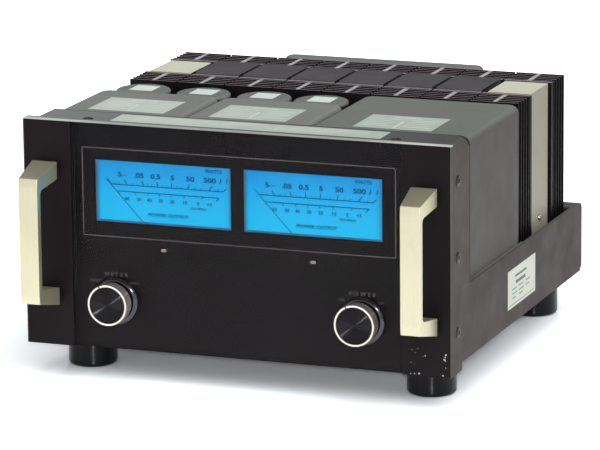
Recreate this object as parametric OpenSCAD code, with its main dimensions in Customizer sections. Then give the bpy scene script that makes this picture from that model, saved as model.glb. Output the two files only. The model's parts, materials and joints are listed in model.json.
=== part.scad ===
// Stereo power amplifier: black glass front panel with two backlit meters, two rotary knobs and
// two carrying handles, in front of covered transformers, capacitor cans and two rows of finned
// heat sinks that stand in a steel tray on four round feet.
// Sizes in millimetres. +Z is up and the front faces -Y. The origin is the middle of the
// footprint, on the surface that the feet rest on. Depths are measured from the front panel.

/* [Body] */
// Width of the front frame and the tray
panel_w = 449; // [440:1:470]
// Height of the black front panel
panel_h = 229.7; // [224:0.1:240]
// How far the front panel hangs below the tray
panel_drop = 8; // [2:0.5:14]
// Height of the tray
tray_h = 74; // [70:0.5:80]
// Sheet thickness of tray, frame and covers
wall = 2; // [1.5:0.1:2.4]
// Depth of the front frame above the tray
frame_d = 63; // [58:0.5:68]
// Depth of the front frame below the top of the tray
frame_low_d = 33; // [32:0.5:40]
// Radius of the rounded rear edges of the front frame
frame_r = 6; // [4:0.5:12]
// Radius of the rounded upper corners of the front frame
frame_corner_r = 13; // [9:0.5:16]
// Radius of the rounded rear edge on top of the tray
tray_r = 8; // [5:0.5:10]

/* [Front panel] */
// Width of each end cap beside the glass
cap_w = 49.7; // [43:0.1:53]
// Thickness of the front glass
glass_t = 5.5; // [4:0.1:6.5]
// How far the glass lies behind the end caps
glass_set = 4; // [1:0.1:5]
// Thickness of the printed mask behind the glass
mask_t = 1; // [0.8:0.1:1.5]

/* [Meters] */
// Width of a meter window
window_w = 144.2; // [130:0.2:148]
// Height of a meter window
window_h = 62.3; // [54:0.1:66]
// Space between the two windows
window_gap = 13.5; // [12:0.1:16]
// Height of the middle of the windows above the lower edge of the panel
window_z = 159.9; // [156:0.1:164]
// Depth of the dial behind the mask
dial_set = 11; // [9:0.1:12]
// Distance from the lower edge of a window down to the needle pivot
pivot_drop = 25.7; // [22:0.1:27]
// Length of a needle from its pivot
needle_len = 92; // [84:0.5:95]
// Lean of a resting needle to the left of upright
needle_rest = 43; // [38:1:46]

/* [Knobs] */
// Radius of a knob
knob_r = 20.7; // [18:0.1:23]
// Length of a knob
knob_len = 13; // [11:0.5:14]
// How far a knob stands out from the end caps
knob_reach = 17; // [16:0.5:22]
// Distance from the side of the panel to the middle of a knob
knob_inset = 94.3; // [88:0.1:110]
// Height of the knobs above the lower edge of the panel
knob_z = 49; // [42:0.5:56]
// Lean of a resting knob pointer to the left of upright
knob_rest = 25; // [15:1:40]
// Radius of a switch shaft
shaft_r = 3.17; // [3:0.01:3.4]
// Outer radius of the bright ring around a knob
bezel_r = 24.7; // [23.5:0.1:26]

/* [Handles] */
// Width of a handle at its front bar
handle_w = 20.2; // [17:0.1:22]
// Width of a handle at its roots
handle_root_w = 27; // [23:0.5:30]
// Thickness of the pads between the end caps and the handles
handle_pad = 6.5; // [4:0.5:8]
// How far a handle stands out from the end cap
handle_reach = 49; // [44:0.5:56]
// Height of a handle at its roots
handle_h = 146.7; // [135:0.5:160]
// How much each leg closes in towards the front bar
handle_splay = 9.6; // [4:0.2:12]
// Thickness of the front bar
handle_bar = 7; // [6:0.5:10]
// Thickness of a leg at its root
handle_leg = 18; // [15:0.5:22]
// Distance from the side of the panel to the middle of a handle
handle_inset = 25.5; // [24:0.5:29]
// Height of the middle of a handle above the lower edge of the panel
handle_z = 116.2; // [111:0.1:122]

/* [Transformers] */
// Width of an output transformer cover
output_cover_w = 133; // [128:0.5:137]
// Depth of an output transformer cover
output_cover_d = 126.5; // [119:0.5:133]
// Depth of the power transformer cover
power_cover_d = 179.5; // [170:0.5:184]
// Height of the transformer covers
cover_h = 214.4; // [206:0.2:218]
// Radius of the upright edges of the covers
cover_r = 14; // [12:0.5:18]
// Radius rolled round the top of the covers
cover_top_r = 7; // [5:0.5:9]

/* [Capacitors] */
// Diameter of a capacitor can
can_d = 57; // [52:0.5:62]
// Height of a capacitor can
can_h = 210.4; // [202:0.2:216]
// Radius of the rounded top edge of a can
can_r = 3; // [2:0.5:6]

/* [Heat sinks] */
// Height of a heat sink
sink_h = 183.5; // [178:0.5:188]
// Depth of a heat sink
sink_d = 45; // [41:0.5:50]
// Depth of the channel between the two rows
channel_d = 68; // [62:0.5:74]
// Gap between neighbouring heat sinks
sink_gap = 1.5; // [0.8:0.1:3]
// Number of plates across a heat sink
fin_count = 6; // [5:1:8]
// Thickness of a fin
fin_t = 1.6; // [1.2:0.1:2]
// Thickness of the spine and of the mounting plate
spine_t = 5; // [4:0.2:6]
// Height of the bracket below the heat sinks
bracket_h = 30; // [27:0.5:34]

/* [Rear] */
// Width of the rear cover
rear_cover_w = 222; // [200:1:232]
// Depth of the rear cover
rear_cover_d = 20.5; // [18:0.5:26]
// Height of the rear cover above the tray
rear_cover_h = 143; // [136:0.5:146]
// Sideways place of the middle of the rear cover
rear_cover_x = 9; // [0:0.5:14]
// How far the speaker terminals stand out behind the tray
terminal_reach = 19; // [17.5:0.5:24]

/* [Feet] */
// Height of a foot
foot_h = 42; // [36:0.5:48]
// Radius of a foot
foot_r = 25; // [22:0.5:28]
// Distance from the side of the tray to the middle of a foot
foot_inset = 42.5; // [36:0.5:48]
// Distance from the front panel to the middle of a front foot
foot_front = 66.5; // [64.5:0.5:74]
// Distance from the rear of the tray to the middle of a rear foot
foot_back = 33; // [30:0.5:35]

/* [Hidden] */
$fn = 64;

// Clearances, and how far a cut runs past a face
fit = 0.2;
free = 0.3;
running = 0.06;
over = 1;
arc_steps = 8;
full_turn = 360;

// Widths
half_w = panel_w / 2;
inner_x = half_w - wall;
side_gap = 3.5;
content_x = inner_x - side_gap;
cover_gap = 2;

// Heights
tray_top = foot_h + tray_h;
floor_z = foot_h + wall;
panel_z = foot_h - panel_drop;
panel_top = panel_z + panel_h;
rim_t = 0.9;
rim_step = 0.6;
rim_top = panel_top + rim_t;
frame_top = panel_top - rim_step;
inside_top = frame_top - wall - fit;
inside_z = panel_z + wall + fit;
bracket_z = floor_z + bracket_h;
sink_top = bracket_z + sink_h;

// Depths, one after the other from the front panel to the rear wall
cap_t = glass_set + glass_t + mask_t;
mask_y = glass_set + glass_t;
depth_gap = 1;
sink_front_gap = 2;
cover_y = frame_d + depth_gap;
can_y = cover_y + output_cover_d + depth_gap + can_d / 2;
content_d = max(output_cover_d + depth_gap + can_d, power_cover_d);
sink_y = cover_y + content_d + sink_front_gap;
channel_y = sink_y + sink_d;
rear_sink_y = channel_y + channel_d;
shelf_y = rear_sink_y + sink_d + depth_gap;
body_d = shelf_y + rear_cover_d + tray_r;
overall_d = handle_reach + body_d + terminal_reach;
front_y = handle_reach - overall_d / 2;

// Front frame with its rim around the panel, and end caps
rim_x = half_w - rim_t;
rim_d = 12;
cap_x = rim_x - fit;
joint_x = cap_x - cap_w;
flange_t = 8;
flange_x = inner_x - fit;
flange_y = 27;
flange_top = frame_top - frame_corner_r - fit;
tongue_w = 8;
tongue_t = 3;
tie_reach = 24;
tie_x = joint_x - tie_reach;
tie_end = half_w - frame_corner_r - fit;
side_screw_y = 19.5;
top_screw_y = 18;
side_screw_z = [41.3, 116.3, 192.2];
top_screw_x = joint_x - tie_reach / 2;
frame_screw_r = 2.4;
frame_head_r = 5.6;
frame_head_h = 1.6;
frame_screw_len = 7;

// Handles, their pads and screws
handle_x = half_w - handle_inset;
handle_taper = (handle_root_w - handle_w) / 2 / (handle_reach - handle_pad);
pad_w = 23;
pad_h = 14;
handle_screw_r = 2.9;
handle_screw_depth = 14;
handle_head_r = 5;
handle_head_h = 4;
handle_edge_r = 1;
handle_facet_h = 8.5;
handle_facet_d = 1.1;
handle_throat_r = 5;
handle_screw_z = (handle_h - handle_leg) / 2;

// Meters
meter_x = (window_gap + window_w) / 2;
meter_z = panel_z + window_z;
pivot_z = meter_z - window_h / 2 - pivot_drop;
case_wall = 1.6;
case_side = 4.5;
case_x = window_w / 2 + case_side;
case_low = tray_top + wall + fit;
lamp_room = 9;
case_high = meter_z + window_h / 2 + lamp_room;
case_d = 34;
case_y = cap_t;
case_back = case_y + case_d;
dial_t = 1;
dial_y = case_y + dial_set;
dial_hole_r = 2.6;
movement_max_r = 15;
movement_r = min(movement_max_r, pivot_z - case_low - 2 * case_wall);
needle_set = 5.5;
needle_y = case_y + needle_set;
needle_t = 0.6;
needle_w = 0.7;
needle_tail = 10;
hub_r = 3;
hub_t = 2.4;
pivot_r = 1;
pivot_len = 20;
lamp_r = 2.5;
lamp_len = 22;
lamp_x = 34;
board_t = 1.6;
meter_board_w = 250;
meter_board_h = 70;
led_w = 5;
led_h = 2.4;
led_d = 3.5;

// Knobs and rotary switches
knob_x = half_w - knob_inset;
knob_height = panel_z + knob_z;
knob_rim = 1.9;
knob_recess = 1.4;
face_t = 0.9;
knob_shell = 3;
knob_web = 5;
boss_r = 7;
notch_w = 1.3;
notch_d = 0.7;
bushing_r = 4.8;
bushing_out = 1.5;
switch_r = 15;
switch_d = 17;
switch_web = 3;
bezel_tube = 1.4;

// Transformers inside the covers
power_cover_w = 2 * content_x - 2 * output_cover_w - 2 * cover_gap;
output_x = [output_cover_w / 2 - content_x, output_cover_w * 1.5 + cover_gap - content_x];
power_x = content_x - power_cover_w / 2;
core_margin = 14;
core_clear = 22;
core_h = cover_h - core_clear;
power_core_w = power_cover_w - 2 * core_margin;
output_core_w = output_cover_w - 2 * core_margin;
leg_count = 6;
power_stack = 76;
output_stack = 56;
winding_gap = 0.5;
winding_build = 0.42;

// Capacitors
can_count = 4;
can_pitch = (2 * output_cover_w + cover_gap) / can_count;
last_can_set = 4.6;
can_x = [
    for (i = [0:can_count - 1])
        can_pitch * (i + 0.5) - content_x - (i == can_count - 1 ? last_can_set : 0)
];

// Heat sinks and channel
sink_side = 9.3;
sink_count = 8;
sink_pitch = (2 * (inner_x - sink_side) + sink_gap) / sink_count;
sink_w = sink_pitch - sink_gap;
sink_x = [for (i = [0:sink_count - 1]) (i - (sink_count - 1) / 2) * sink_pitch];
row_x = sink_x[sink_count - 1] + sink_w / 2;
fin_pitch = (sink_d - fin_t) / (fin_count - 1);
bracket_in = 10;
bracket_x = row_x - over;
vent_w = 40;
vent_d = 20;
post_w = 9;
post_t = 8;
post_h = 58;
plate_t = 1.6;
cover_plate_w = 48.6;
cover_lip = 16;
cover_sink = 0.5;
cover_rise = 2.4;
cover_step = 2.2;
end_plate_w = 46;
end_plate_set = 2.6;
end_plate_gap = 4.2;
end_plate_x = row_x - end_plate_set;
end_plate_drop = 8;
end_plate_low = tray_top - end_plate_drop;
end_screw_rise = 6;
end_screw_z = tray_top + end_screw_rise;
end_screw_r = 2;
end_head_r = 3.6;
end_head_h = 2;
end_screw_len = 6;
transistor_r = 12.5;
transistor_can_r = 9.5;
transistor_t = 2;
transistor_d = 8;
transistor_rise = 86;
transistor_z = bracket_z + transistor_rise;
driver_h = 146;
driver_end = 8;
driver_gap = 4;
driver_part_h = 14;
driver_part_d = 6;

// Tray openings and bosses
hem = 2;
tray_chamfer = 6;
slot_w = 5;
slot_l = 34;
slot_count = 12;
slot_pitch = 2 * bracket_x / slot_count;
boss_h = 6;
post_r = 3.5;
supply_x = 150;
supply_in = 14;
supply_part_h = 14;

// Rear cover and connectors
rear_cover_max_r = 9;
rear_cover_r = min(rear_cover_max_r, rear_cover_d / 2 - over / 2);
rear_roll_share = 0.625;
rear_cover_top_r = rear_cover_r * rear_roll_share;
input_board_w = 170;
input_board_h = 118;
rear_rise = 39;
rear_z = foot_h + rear_rise;
inlet_inset = 40.5;
inlet_x = inlet_inset - half_w;
inlet_w = 27;
inlet_h = 20;
inlet_d = 20;
inlet_flange = 3;
inlet_lip = 2.5;
inlet_wall_x = 1.6;
inlet_wall_z = 1.6;
inlet_depth = 16;
contact_w = 4;
contact_t = 2;
contact_len = 14;
contact_x = 7;
earth_z = 4;
live_z = -2.5;
fuse_step = 38;
fuse_x = inlet_x + fuse_step;
fuse_r = 6.5;
fuse_head_r = 8.5;
fuse_in = 20;
fuse_out = 12;
jack_x = [-14, 14];
jack_r = 4.15;
jack_len = 10;
jack_bore_r = 1.6;
jack_body_r = 5;
jack_collar_r = 7;
jack_collar_t = 3;
jack_in = 14;
mode_x = 46;
mode_w = 30;
mode_h = 14;
mode_d = 11;
mode_slot_w = 18;
mode_slot_h = 6.6;
mode_slot_d = 8;
slider_w = 11;
slider_out = 3;
strip_step = 62;
strip_inset = 112.5;
strip_x = [fuse_x + strip_step, half_w - strip_inset];
strip_count = 4;
strip_gap = 13;
strip_rib = 2.2;
strip_w = strip_count * strip_gap + (strip_count + 1) * strip_rib;
strip_h = 24;
strip_base = 9;
strip_screw_r = 1.9;
strip_screw_len = 7;
strip_head_r = 4.2;
strip_head_h = 3;

// Feet
foot_x = half_w - foot_inset;
foot_edge = 4;
foot_bore_r = 2.8;
foot_sink_r = 7;
foot_sink_d = 14;
foot_screw_r = 2.6;
foot_head_r = 5;
foot_head_h = 4;

// Points of a polygon with its corners rounded off
function unit(v) = v / norm(v);
function turn(from, to) = ((to - from + full_turn * 1.5) % full_turn) - full_turn / 2;
function corner_arc(c, r, from, sweep) =
    [for (i = [0:arc_steps])
        let (a = from + sweep * i / arc_steps)
        c + r * [cos(a), sin(a)]];
function corner(before, p, after, r) =
    let (
        u = unit(before - p),
        w = unit(after - p),
        half = acos(u * w) / 2,
        c = p + unit(u + w) * r / sin(half),
        s = p + u * r / tan(half) - c,
        e = p + w * r / tan(half) - c,
        from = atan2(s[1], s[0])
    )
    corner_arc(c, r, from, turn(from, atan2(e[1], e[0])));
function rounded(points, radii) =
    let (n = len(points))
    [for (i = [0:n - 1])
        each radii[i] > 0
            ? corner(points[(i + n - 1) % n], points[i], points[(i + 1) % n], radii[i])
            : [points[i]]];

// Moves a piece from front panel depths to the frame of the whole object
module place() {
    translate([0, front_y, 0]) children();
}

// Box between two opposite corners
module block(low, high) {
    translate(low) cube(high - low);
}

// Rod along Y between two depths
module rod(x, z, r, from, to) {
    translate([x, from, z]) rotate([-90, 0, 0]) cylinder(r = r, h = to - from);
}

// Rod along X between two places
module cross_rod(y, z, r, from, to) {
    translate([from, y, z]) rotate([0, 90, 0]) cylinder(r = r, h = to - from);
}

// Side view profile drawn in depth and height, made as wide as the piece
module across(half, middle = 0) {
    translate([middle - half, 0, 0]) rotate([90, 0, 90]) linear_extrude(2 * half) children();
}

// Outline with a flat base and two rounded upper corners
module arch(w, h, r) {
    translate([-w / 2, 0]) square([w, h - r]);
    translate([r - w / 2, 0]) square([w - 2 * r, h]);
    for (s = [-1, 1]) {
        translate([s * (w / 2 - r), h - r]) circle(r);
    }
}

// Half section of a round post with a rolled top edge
module post_section(r, h, top_r) {
    square([r, h - top_r]);
    square([r - top_r, h]);
    intersection() {
        translate([r - top_r, h - top_r]) circle(top_r);
        square([r, h]);
    }
}

// Deep drawn form with rounded upright edges and a smaller radius rolled round its top
module drawn_form(w, d, h, r, top_r) {
    translate([0, d / 2 - r, 0]) rotate([90, 0, 0]) linear_extrude(d - 2 * r) arch(w, h, top_r);
    translate([r - w / 2, 0, 0]) rotate([90, 0, 90]) linear_extrude(w - 2 * r) arch(d, h, top_r);
    for (sx = [-1, 1], sy = [-1, 1]) {
        translate([sx * (w / 2 - r), sy * (d / 2 - r), 0]) rotate_extrude() post_section(r, h, top_r);
    }
}

module drawn_shell(w, d, h, r, top_r) {
    difference() {
        drawn_form(w, d, h, r, top_r);
        translate([0, 0, -over])
            drawn_form(w - 2 * wall, d - 2 * wall, h - wall + over, r - wall, top_r - wall);
    }
}

module tray_profile(inset, r) {
    polygon(rounded(
        [
            [frame_low_d + inset, foot_h + inset],
            [body_d - inset - tray_chamfer, foot_h + inset],
            [body_d - inset, foot_h + inset + tray_chamfer],
            [body_d - inset, tray_top - inset],
            [frame_low_d + inset, tray_top - inset]
        ],
        [0, 0, 0, r, 0]
    ));
}

module foot_places() {
    for (s = [-1, 1], y = [foot_front, body_d - foot_back]) {
        translate([s * foot_x, y, 0]) children();
    }
}

module supply_post_places() {
    for (s = [-1, 1], y = [sink_y + bracket_in + supply_in, shelf_y - bracket_in - supply_in]) {
        translate([s * (supply_x - supply_in), y, floor_z]) children();
    }
}

module rear_openings() {
    from = body_d - wall - over;
    to = body_d + over;
    block([inlet_x - inlet_w / 2 - fit, from, rear_z - inlet_h / 2 - fit],
          [inlet_x + inlet_w / 2 + fit, to, rear_z + inlet_h / 2 + fit]);
    rod(fuse_x, rear_z, fuse_r + fit, from, to);
    for (x = jack_x) {
        rod(x, rear_z, jack_body_r + fit, from, to);
    }
    block([mode_x - mode_slot_w / 2, from, rear_z - mode_slot_h / 2],
          [mode_x + mode_slot_w / 2, to, rear_z + mode_slot_h / 2]);
}

module chassis_tray() {
    color([0.34, 0.32, 0.32]) place() {
        difference() {
            across(half_w) tray_profile(0, tray_r);
            across(inner_x) tray_profile(wall, tray_r - wall);
            block([hem - inner_x, frame_d + free, tray_top - wall - over],
                  [inner_x - hem, shelf_y, tray_top + over]);
            foot_places() cylinder(r = foot_bore_r, h = tray_top);
            for (i = [0:slot_count - 1], y = [sink_y, rear_sink_y]) {
                translate([(i + 0.5) * slot_pitch - bracket_x, y + sink_d / 2, foot_h - over])
                    linear_extrude(wall + 2 * over) square([slot_w, slot_l - slot_w], center = true);
            }
            rear_openings();
        }
        supply_post_places() cylinder(r = post_r, h = boss_h);
    }
}

// Front frame as a solid, from a front depth to its rounded rear edges
module frame_form(from, half, inset) {
    r = frame_r - inset;
    d = frame_d - inset;
    low_d = frame_low_d - inset;
    step_z = tray_top + inset;
    top = frame_top - inset;
    low = panel_z - (inset > 0 ? over : 0);
    intersection() {
        across(half + over) {
            translate([from, low]) square([low_d - from, step_z + over - low]);
            translate([from, step_z]) square([d - from, top - r - step_z]);
            translate([from, step_z]) square([d - r - from, top - step_z]);
            translate([d - r, top - r]) circle(r);
        }
        translate([0, 0, low - over]) linear_extrude(top - low + 2 * over) {
            translate([-half, from - over]) square([2 * half, d - r - from + over]);
            translate([r - half, from - over]) square([2 * (half - r), d - from + over]);
            for (s = [-1, 1]) {
                translate([s * (half - r), d - r]) circle(r);
            }
        }
        translate([0, d + over, low - over]) rotate([90, 0, 0]) linear_extrude(d - from + 2 * over)
            arch(2 * half, top - low + over, frame_corner_r - inset);
    }
}

module side_screw_places() {
    for (s = [-1, 1], z = side_screw_z) {
        translate([s * half_w, side_screw_y, panel_z + z]) rotate([0, s * 90, 0]) children();
    }
}

module top_screw_places() {
    for (s = [-1, 1]) {
        translate([s * top_screw_x, top_screw_y, frame_top]) children();
    }
}

module screw_hole(r, depth) {
    translate([0, 0, -depth]) cylinder(r = r, h = depth + over);
}

module front_frame() {
    color([0.42, 0.42, 0.41]) place() {
        difference() {
            union() {
                frame_form(rim_d - over, half_w, 0);
                block([-half_w, 0, panel_z], [half_w, rim_d, rim_top]);
            }
            frame_form(cap_t, inner_x, wall);
            block([-rim_x, -over, panel_z - over], [rim_x, cap_t + fit, panel_top]);
            side_screw_places() screw_hole(frame_screw_r + fit, wall + over);
            top_screw_places() screw_hole(frame_screw_r + fit, wall + over);
        }
        block([-inner_x - wall / 2, cap_t + fit, panel_z],
              [inner_x + wall / 2, frame_low_d, panel_z + wall]);
    }
}

module frame_screw() {
    cylinder(r1 = frame_head_r, r2 = frame_head_r - frame_head_h / 2, h = frame_head_h);
    translate([0, 0, -frame_screw_len]) cylinder(r = frame_screw_r, h = frame_screw_len + frame_head_h / 2);
}

module frame_screws() {
    color([0.13, 0.12, 0.12]) place() {
        side_screw_places() frame_screw();
        top_screw_places() frame_screw();
    }
}

module end_cap(side) {
    color([0.06, 0.06, 0.06]) place() mirror([side < 0 ? 1 : 0, 0, 0]) {
        difference() {
            union() {
                block([joint_x, 0, panel_z], [cap_x, cap_t, panel_top - fit]);
                block([flange_x - flange_t, cap_t, inside_z], [flange_x, flange_y, flange_top]);
                block([joint_x - tongue_w, cap_t, inside_z],
                      [joint_x + tongue_w, cap_t + tongue_t, inside_top]);
                block([tie_x, cap_t, inside_top - flange_t], [tie_end, flange_y, inside_top]);
                for (s = [-1, 1]) {
                    z = panel_z + handle_z + s * handle_screw_z;
                    block([handle_x - pad_w / 2, -handle_pad, z - pad_h / 2],
                          [handle_x + pad_w / 2, over, z + pad_h / 2]);
                }
            }
            for (s = [-1, 1]) {
                z = panel_z + handle_z + s * handle_screw_z;
                rod(handle_x, z, handle_screw_r + fit, -handle_pad - over, cap_t + over);
            }
            side_screw_places() screw_hole(frame_screw_r + fit, frame_screw_len + over);
            top_screw_places() screw_hole(frame_screw_r + fit, frame_screw_len + over);
        }
    }
}

module end_cap_left() {
    end_cap(-1);
}

module end_cap_right() {
    end_cap(1);
}

module shaft_places() {
    for (s = [-1, 1]) {
        translate([s * knob_x, 0, knob_height]) rotate([-90, 0, 0]) children();
    }
}

module front_glass() {
    color([0.05, 0.05, 0.06]) place() {
        difference() {
            block([fit - joint_x, glass_set, panel_z], [joint_x - fit, mask_y, panel_top - fit]);
            shaft_places() cylinder(r = bushing_r + fit, h = cap_t + over);
        }
    }
}

module display_mask() {
    color([0.03, 0.03, 0.03]) place() {
        difference() {
            block([fit - joint_x, mask_y, panel_z], [joint_x - fit, cap_t, panel_top - fit]);
            shaft_places() cylinder(r = bushing_r + fit, h = cap_t + over);
            for (s = [-1, 1]) {
                block([s * meter_x - window_w / 2, mask_y - over, meter_z - window_h / 2],
                      [s * meter_x + window_w / 2, cap_t + over, meter_z + window_h / 2]);
                block([s * meter_x - led_w / 2 - fit, mask_y - over, pivot_z - led_h / 2 - fit],
                      [s * meter_x + led_w / 2 + fit, cap_t + over, pivot_z + led_h / 2 + fit]);
            }
        }
    }
}

module indicator_lamps() {
    color([0.35, 0.16, 0.08]) place() {
        for (s = [-1, 1]) {
            block([s * meter_x - led_w / 2, mask_y, pivot_z - led_h / 2],
                  [s * meter_x + led_w / 2, mask_y + led_d, pivot_z + led_h / 2]);
        }
    }
}

module handle_profile() {
    high = handle_h / 2;
    throat = high - handle_leg;
    root = -handle_pad;
    front = -handle_reach;
    back = handle_bar - handle_reach;
    bar = high - handle_splay;
    flat = bar - handle_facet_h;
    polygon(rounded(
        [
            [root, high], [front + handle_facet_d, bar], [front, flat],
            [front, -flat], [front + handle_facet_d, -bar], [root, -high],
            [root, -throat], [back, handle_splay / 2 - throat],
            [back, throat - handle_splay / 2], [root, throat]
        ],
        [0, handle_edge_r, 0, 0, handle_edge_r, 0, 0, handle_throat_r, handle_throat_r, 0]
    ));
}

// Plan of a handle, narrowing from its roots to the front bar
module handle_plan() {
    root = handle_root_w / 2 + handle_taper * over;
    front = handle_w / 2 - handle_taper * over;
    polygon([
        [-root, over - handle_pad], [root, over - handle_pad],
        [front, -handle_reach - over], [-front, -handle_reach - over]
    ]);
}

module handle(side) {
    color([0.85, 0.82, 0.70]) place() {
        difference() {
            intersection() {
                translate([0, 0, panel_z + handle_z])
                    across(handle_root_w / 2 + over, side * handle_x) handle_profile();
                translate([side * handle_x, 0, panel_z + handle_z - handle_h / 2 - over])
                    linear_extrude(handle_h + 2 * over) handle_plan();
            }
            for (s = [-1, 1]) {
                z = panel_z + handle_z + s * handle_screw_z;
                rod(side * handle_x, z, handle_screw_r + fit,
                    -handle_pad - handle_screw_depth - over, over - handle_pad);
            }
        }
    }
}

module handle_left() {
    handle(-1);
}

module handle_right() {
    handle(1);
}

module handle_screws() {
    color([0.55, 0.55, 0.55]) place() {
        for (side = [-1, 1], s = [-1, 1]) {
            z = panel_z + handle_z + s * handle_screw_z;
            rod(side * handle_x, z, handle_screw_r, -handle_pad - handle_screw_depth, cap_t + over);
            rod(side * handle_x, z, handle_head_r, cap_t, cap_t + handle_head_h);
        }
    }
}

module meter_case(side) {
    color([0.08, 0.08, 0.09]) place() translate([side * meter_x, 0, 0]) {
        difference() {
            block([-case_x, case_y, case_low], [case_x, case_back, case_high]);
            block([case_wall - case_x, case_y - over, case_low + case_wall],
                  [case_x - case_wall, case_back - case_wall, case_high - case_wall]);
        }
    }
}

module meter_case_left() {
    meter_case(-1);
}

module meter_case_right() {
    meter_case(1);
}

module meter_dial(side) {
    color([0.10, 0.62, 0.92]) place() translate([side * meter_x, 0, 0]) {
        difference() {
            block([case_wall + fit - case_x, dial_y, case_low + case_wall + fit],
                  [case_x - case_wall - fit, dial_y + dial_t, case_high - case_wall - fit]);
            rod(0, pivot_z, dial_hole_r, dial_y - over, dial_y + dial_t + over);
        }
    }
}

module meter_dial_left() {
    meter_dial(-1);
}

module meter_dial_right() {
    meter_dial(1);
}

module meter_needle(side) {
    color([0.05, 0.05, 0.07]) place() translate([side * meter_x, 0, 0]) {
        rod(0, pivot_z, hub_r, needle_y - hub_t / 2, needle_y + hub_t / 2);
        rod(0, pivot_z, pivot_r, needle_y, needle_y + pivot_len);
        translate([0, 0, pivot_z]) rotate([0, -needle_rest, 0])
            block([-needle_w / 2, needle_y - needle_t / 2, -needle_tail],
                  [needle_w / 2, needle_y + needle_t / 2, needle_len]);
    }
}

module meter_needle_left() {
    meter_needle(-1);
}

module meter_needle_right() {
    meter_needle(1);
}

module meter_movements() {
    color([0.45, 0.45, 0.46]) place() {
        for (s = [-1, 1]) {
            difference() {
                rod(s * meter_x, pivot_z, movement_r, dial_y + dial_t, case_back - case_wall);
                rod(s * meter_x, pivot_z, pivot_r + running, dial_y, needle_y + pivot_len + free);
            }
        }
    }
}

module meter_lamps() {
    color([0.80, 0.90, 0.95]) place() {
        for (s = [-1, 1], t = [-1, 1]) {
            x = s * meter_x + t * lamp_x;
            y = case_y + dial_set / 2;
            z = case_high - case_wall - lamp_r - fit;
            cross_rod(y, z, lamp_r, x - lamp_len / 2, x + lamp_len / 2);
        }
    }
}

module meter_board() {
    color([0.10, 0.32, 0.16]) place() {
        block([-meter_board_w / 2, case_back, meter_z - meter_board_h / 2],
              [meter_board_w / 2, case_back + board_t, meter_z + meter_board_h / 2]);
    }
}

module knob(side) {
    color([0.72, 0.70, 0.64]) place() translate([side * knob_x, -knob_reach, knob_height]) {
        rotate([0, -knob_rest, 0]) rotate([-90, 0, 0]) difference() {
            cylinder(r = knob_r, h = knob_len);
            translate([0, 0, -over]) cylinder(r = knob_r - knob_rim, h = knob_recess + over);
            translate([0, 0, knob_web]) difference() {
                cylinder(r = knob_r - knob_shell, h = knob_len);
                cylinder(r = boss_r, h = knob_len);
            }
            translate([0, 0, knob_web - over]) cylinder(r = shaft_r + running, h = knob_len);
            translate([-notch_w / 2, -knob_r - over, -over])
                cube([notch_w, knob_rim + 2 * over, notch_d + over]);
        }
    }
}

module meter_knob() {
    knob(-1);
}

module power_knob() {
    knob(1);
}

module knob_face(side) {
    color([0.10, 0.10, 0.10]) place() {
        y = knob_recess - knob_reach;
        rod(side * knob_x, knob_height, knob_r - knob_rim - running, y - face_t, y);
    }
}

module meter_knob_face() {
    knob_face(-1);
}

module power_knob_face() {
    knob_face(1);
}

module knob_bezels() {
    color([0.80, 0.80, 0.80]) place() {
        shaft_places() intersection() {
            translate([0, 0, glass_set - bezel_tube])
                rotate_extrude() translate([bezel_r - bezel_tube, bezel_tube / 2]) circle(bezel_tube);
            cylinder(r = bezel_r + over, h = glass_set);
        }
    }
}

module switch_shaft(side) {
    color([0.60, 0.60, 0.60]) place() {
        from = knob_web - knob_reach;
        rod(side * knob_x, knob_height, shaft_r, from, cap_t + switch_d - switch_web - free);
    }
}

module meter_switch_shaft() {
    switch_shaft(-1);
}

module power_switch_shaft() {
    switch_shaft(1);
}

module rotary_switches() {
    color([0.30, 0.30, 0.28]) place() {
        for (s = [-1, 1]) {
            difference() {
                union() {
                    rod(s * knob_x, knob_height, switch_r, cap_t, cap_t + switch_d);
                    rod(s * knob_x, knob_height, bushing_r, glass_set - bushing_out, cap_t + over);
                }
                rod(s * knob_x, knob_height, shaft_r + running, -knob_reach, cap_t + switch_d - switch_web);
            }
        }
    }
}

// Core of stacked sheets: two bays between a middle leg of double width and two outer legs
module transformer_core(w, stack) {
    leg = w / leg_count;
    difference() {
        block([-w / 2, -stack / 2, 0], [w / 2, stack / 2, core_h]);
        for (low_x = [-2 * leg, leg]) {
            block([low_x, -stack, leg], [low_x + leg, stack, core_h - leg]);
        }
    }
}

module transformer_winding(w, stack) {
    leg = w / leg_count;
    out_x = 2 * leg - winding_gap;
    out_y = stack / 2 + leg * 2 * winding_build;
    in_x = leg + winding_gap;
    in_y = stack / 2 + winding_gap;
    difference() {
        block([-out_x, -out_y, leg + winding_gap], [out_x, out_y, core_h - leg - winding_gap]);
        block([-in_x, -in_y, 0], [in_x, in_y, core_h]);
    }
}

module power_place() {
    translate([power_x, cover_y + power_cover_d / 2, floor_z]) children();
}

module output_place(i) {
    translate([output_x[i], cover_y + output_cover_d / 2, floor_z]) children();
}

module power_transformer_cover() {
    color([0.45, 0.45, 0.44]) place() power_place()
        drawn_shell(power_cover_w, power_cover_d, cover_h, cover_r, cover_top_r);
}

module output_transformer_cover_left() {
    color([0.45, 0.45, 0.44]) place() output_place(0)
        drawn_shell(output_cover_w, output_cover_d, cover_h, cover_r, cover_top_r);
}

module output_transformer_cover_right() {
    color([0.45, 0.45, 0.44]) place() output_place(1)
        drawn_shell(output_cover_w, output_cover_d, cover_h, cover_r, cover_top_r);
}

module power_transformer_core() {
    color([0.38, 0.38, 0.40]) place() power_place()
        transformer_core(power_core_w, power_stack);
}

module power_transformer_winding() {
    color([0.62, 0.36, 0.18]) place() power_place()
        transformer_winding(power_core_w, power_stack);
}

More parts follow.
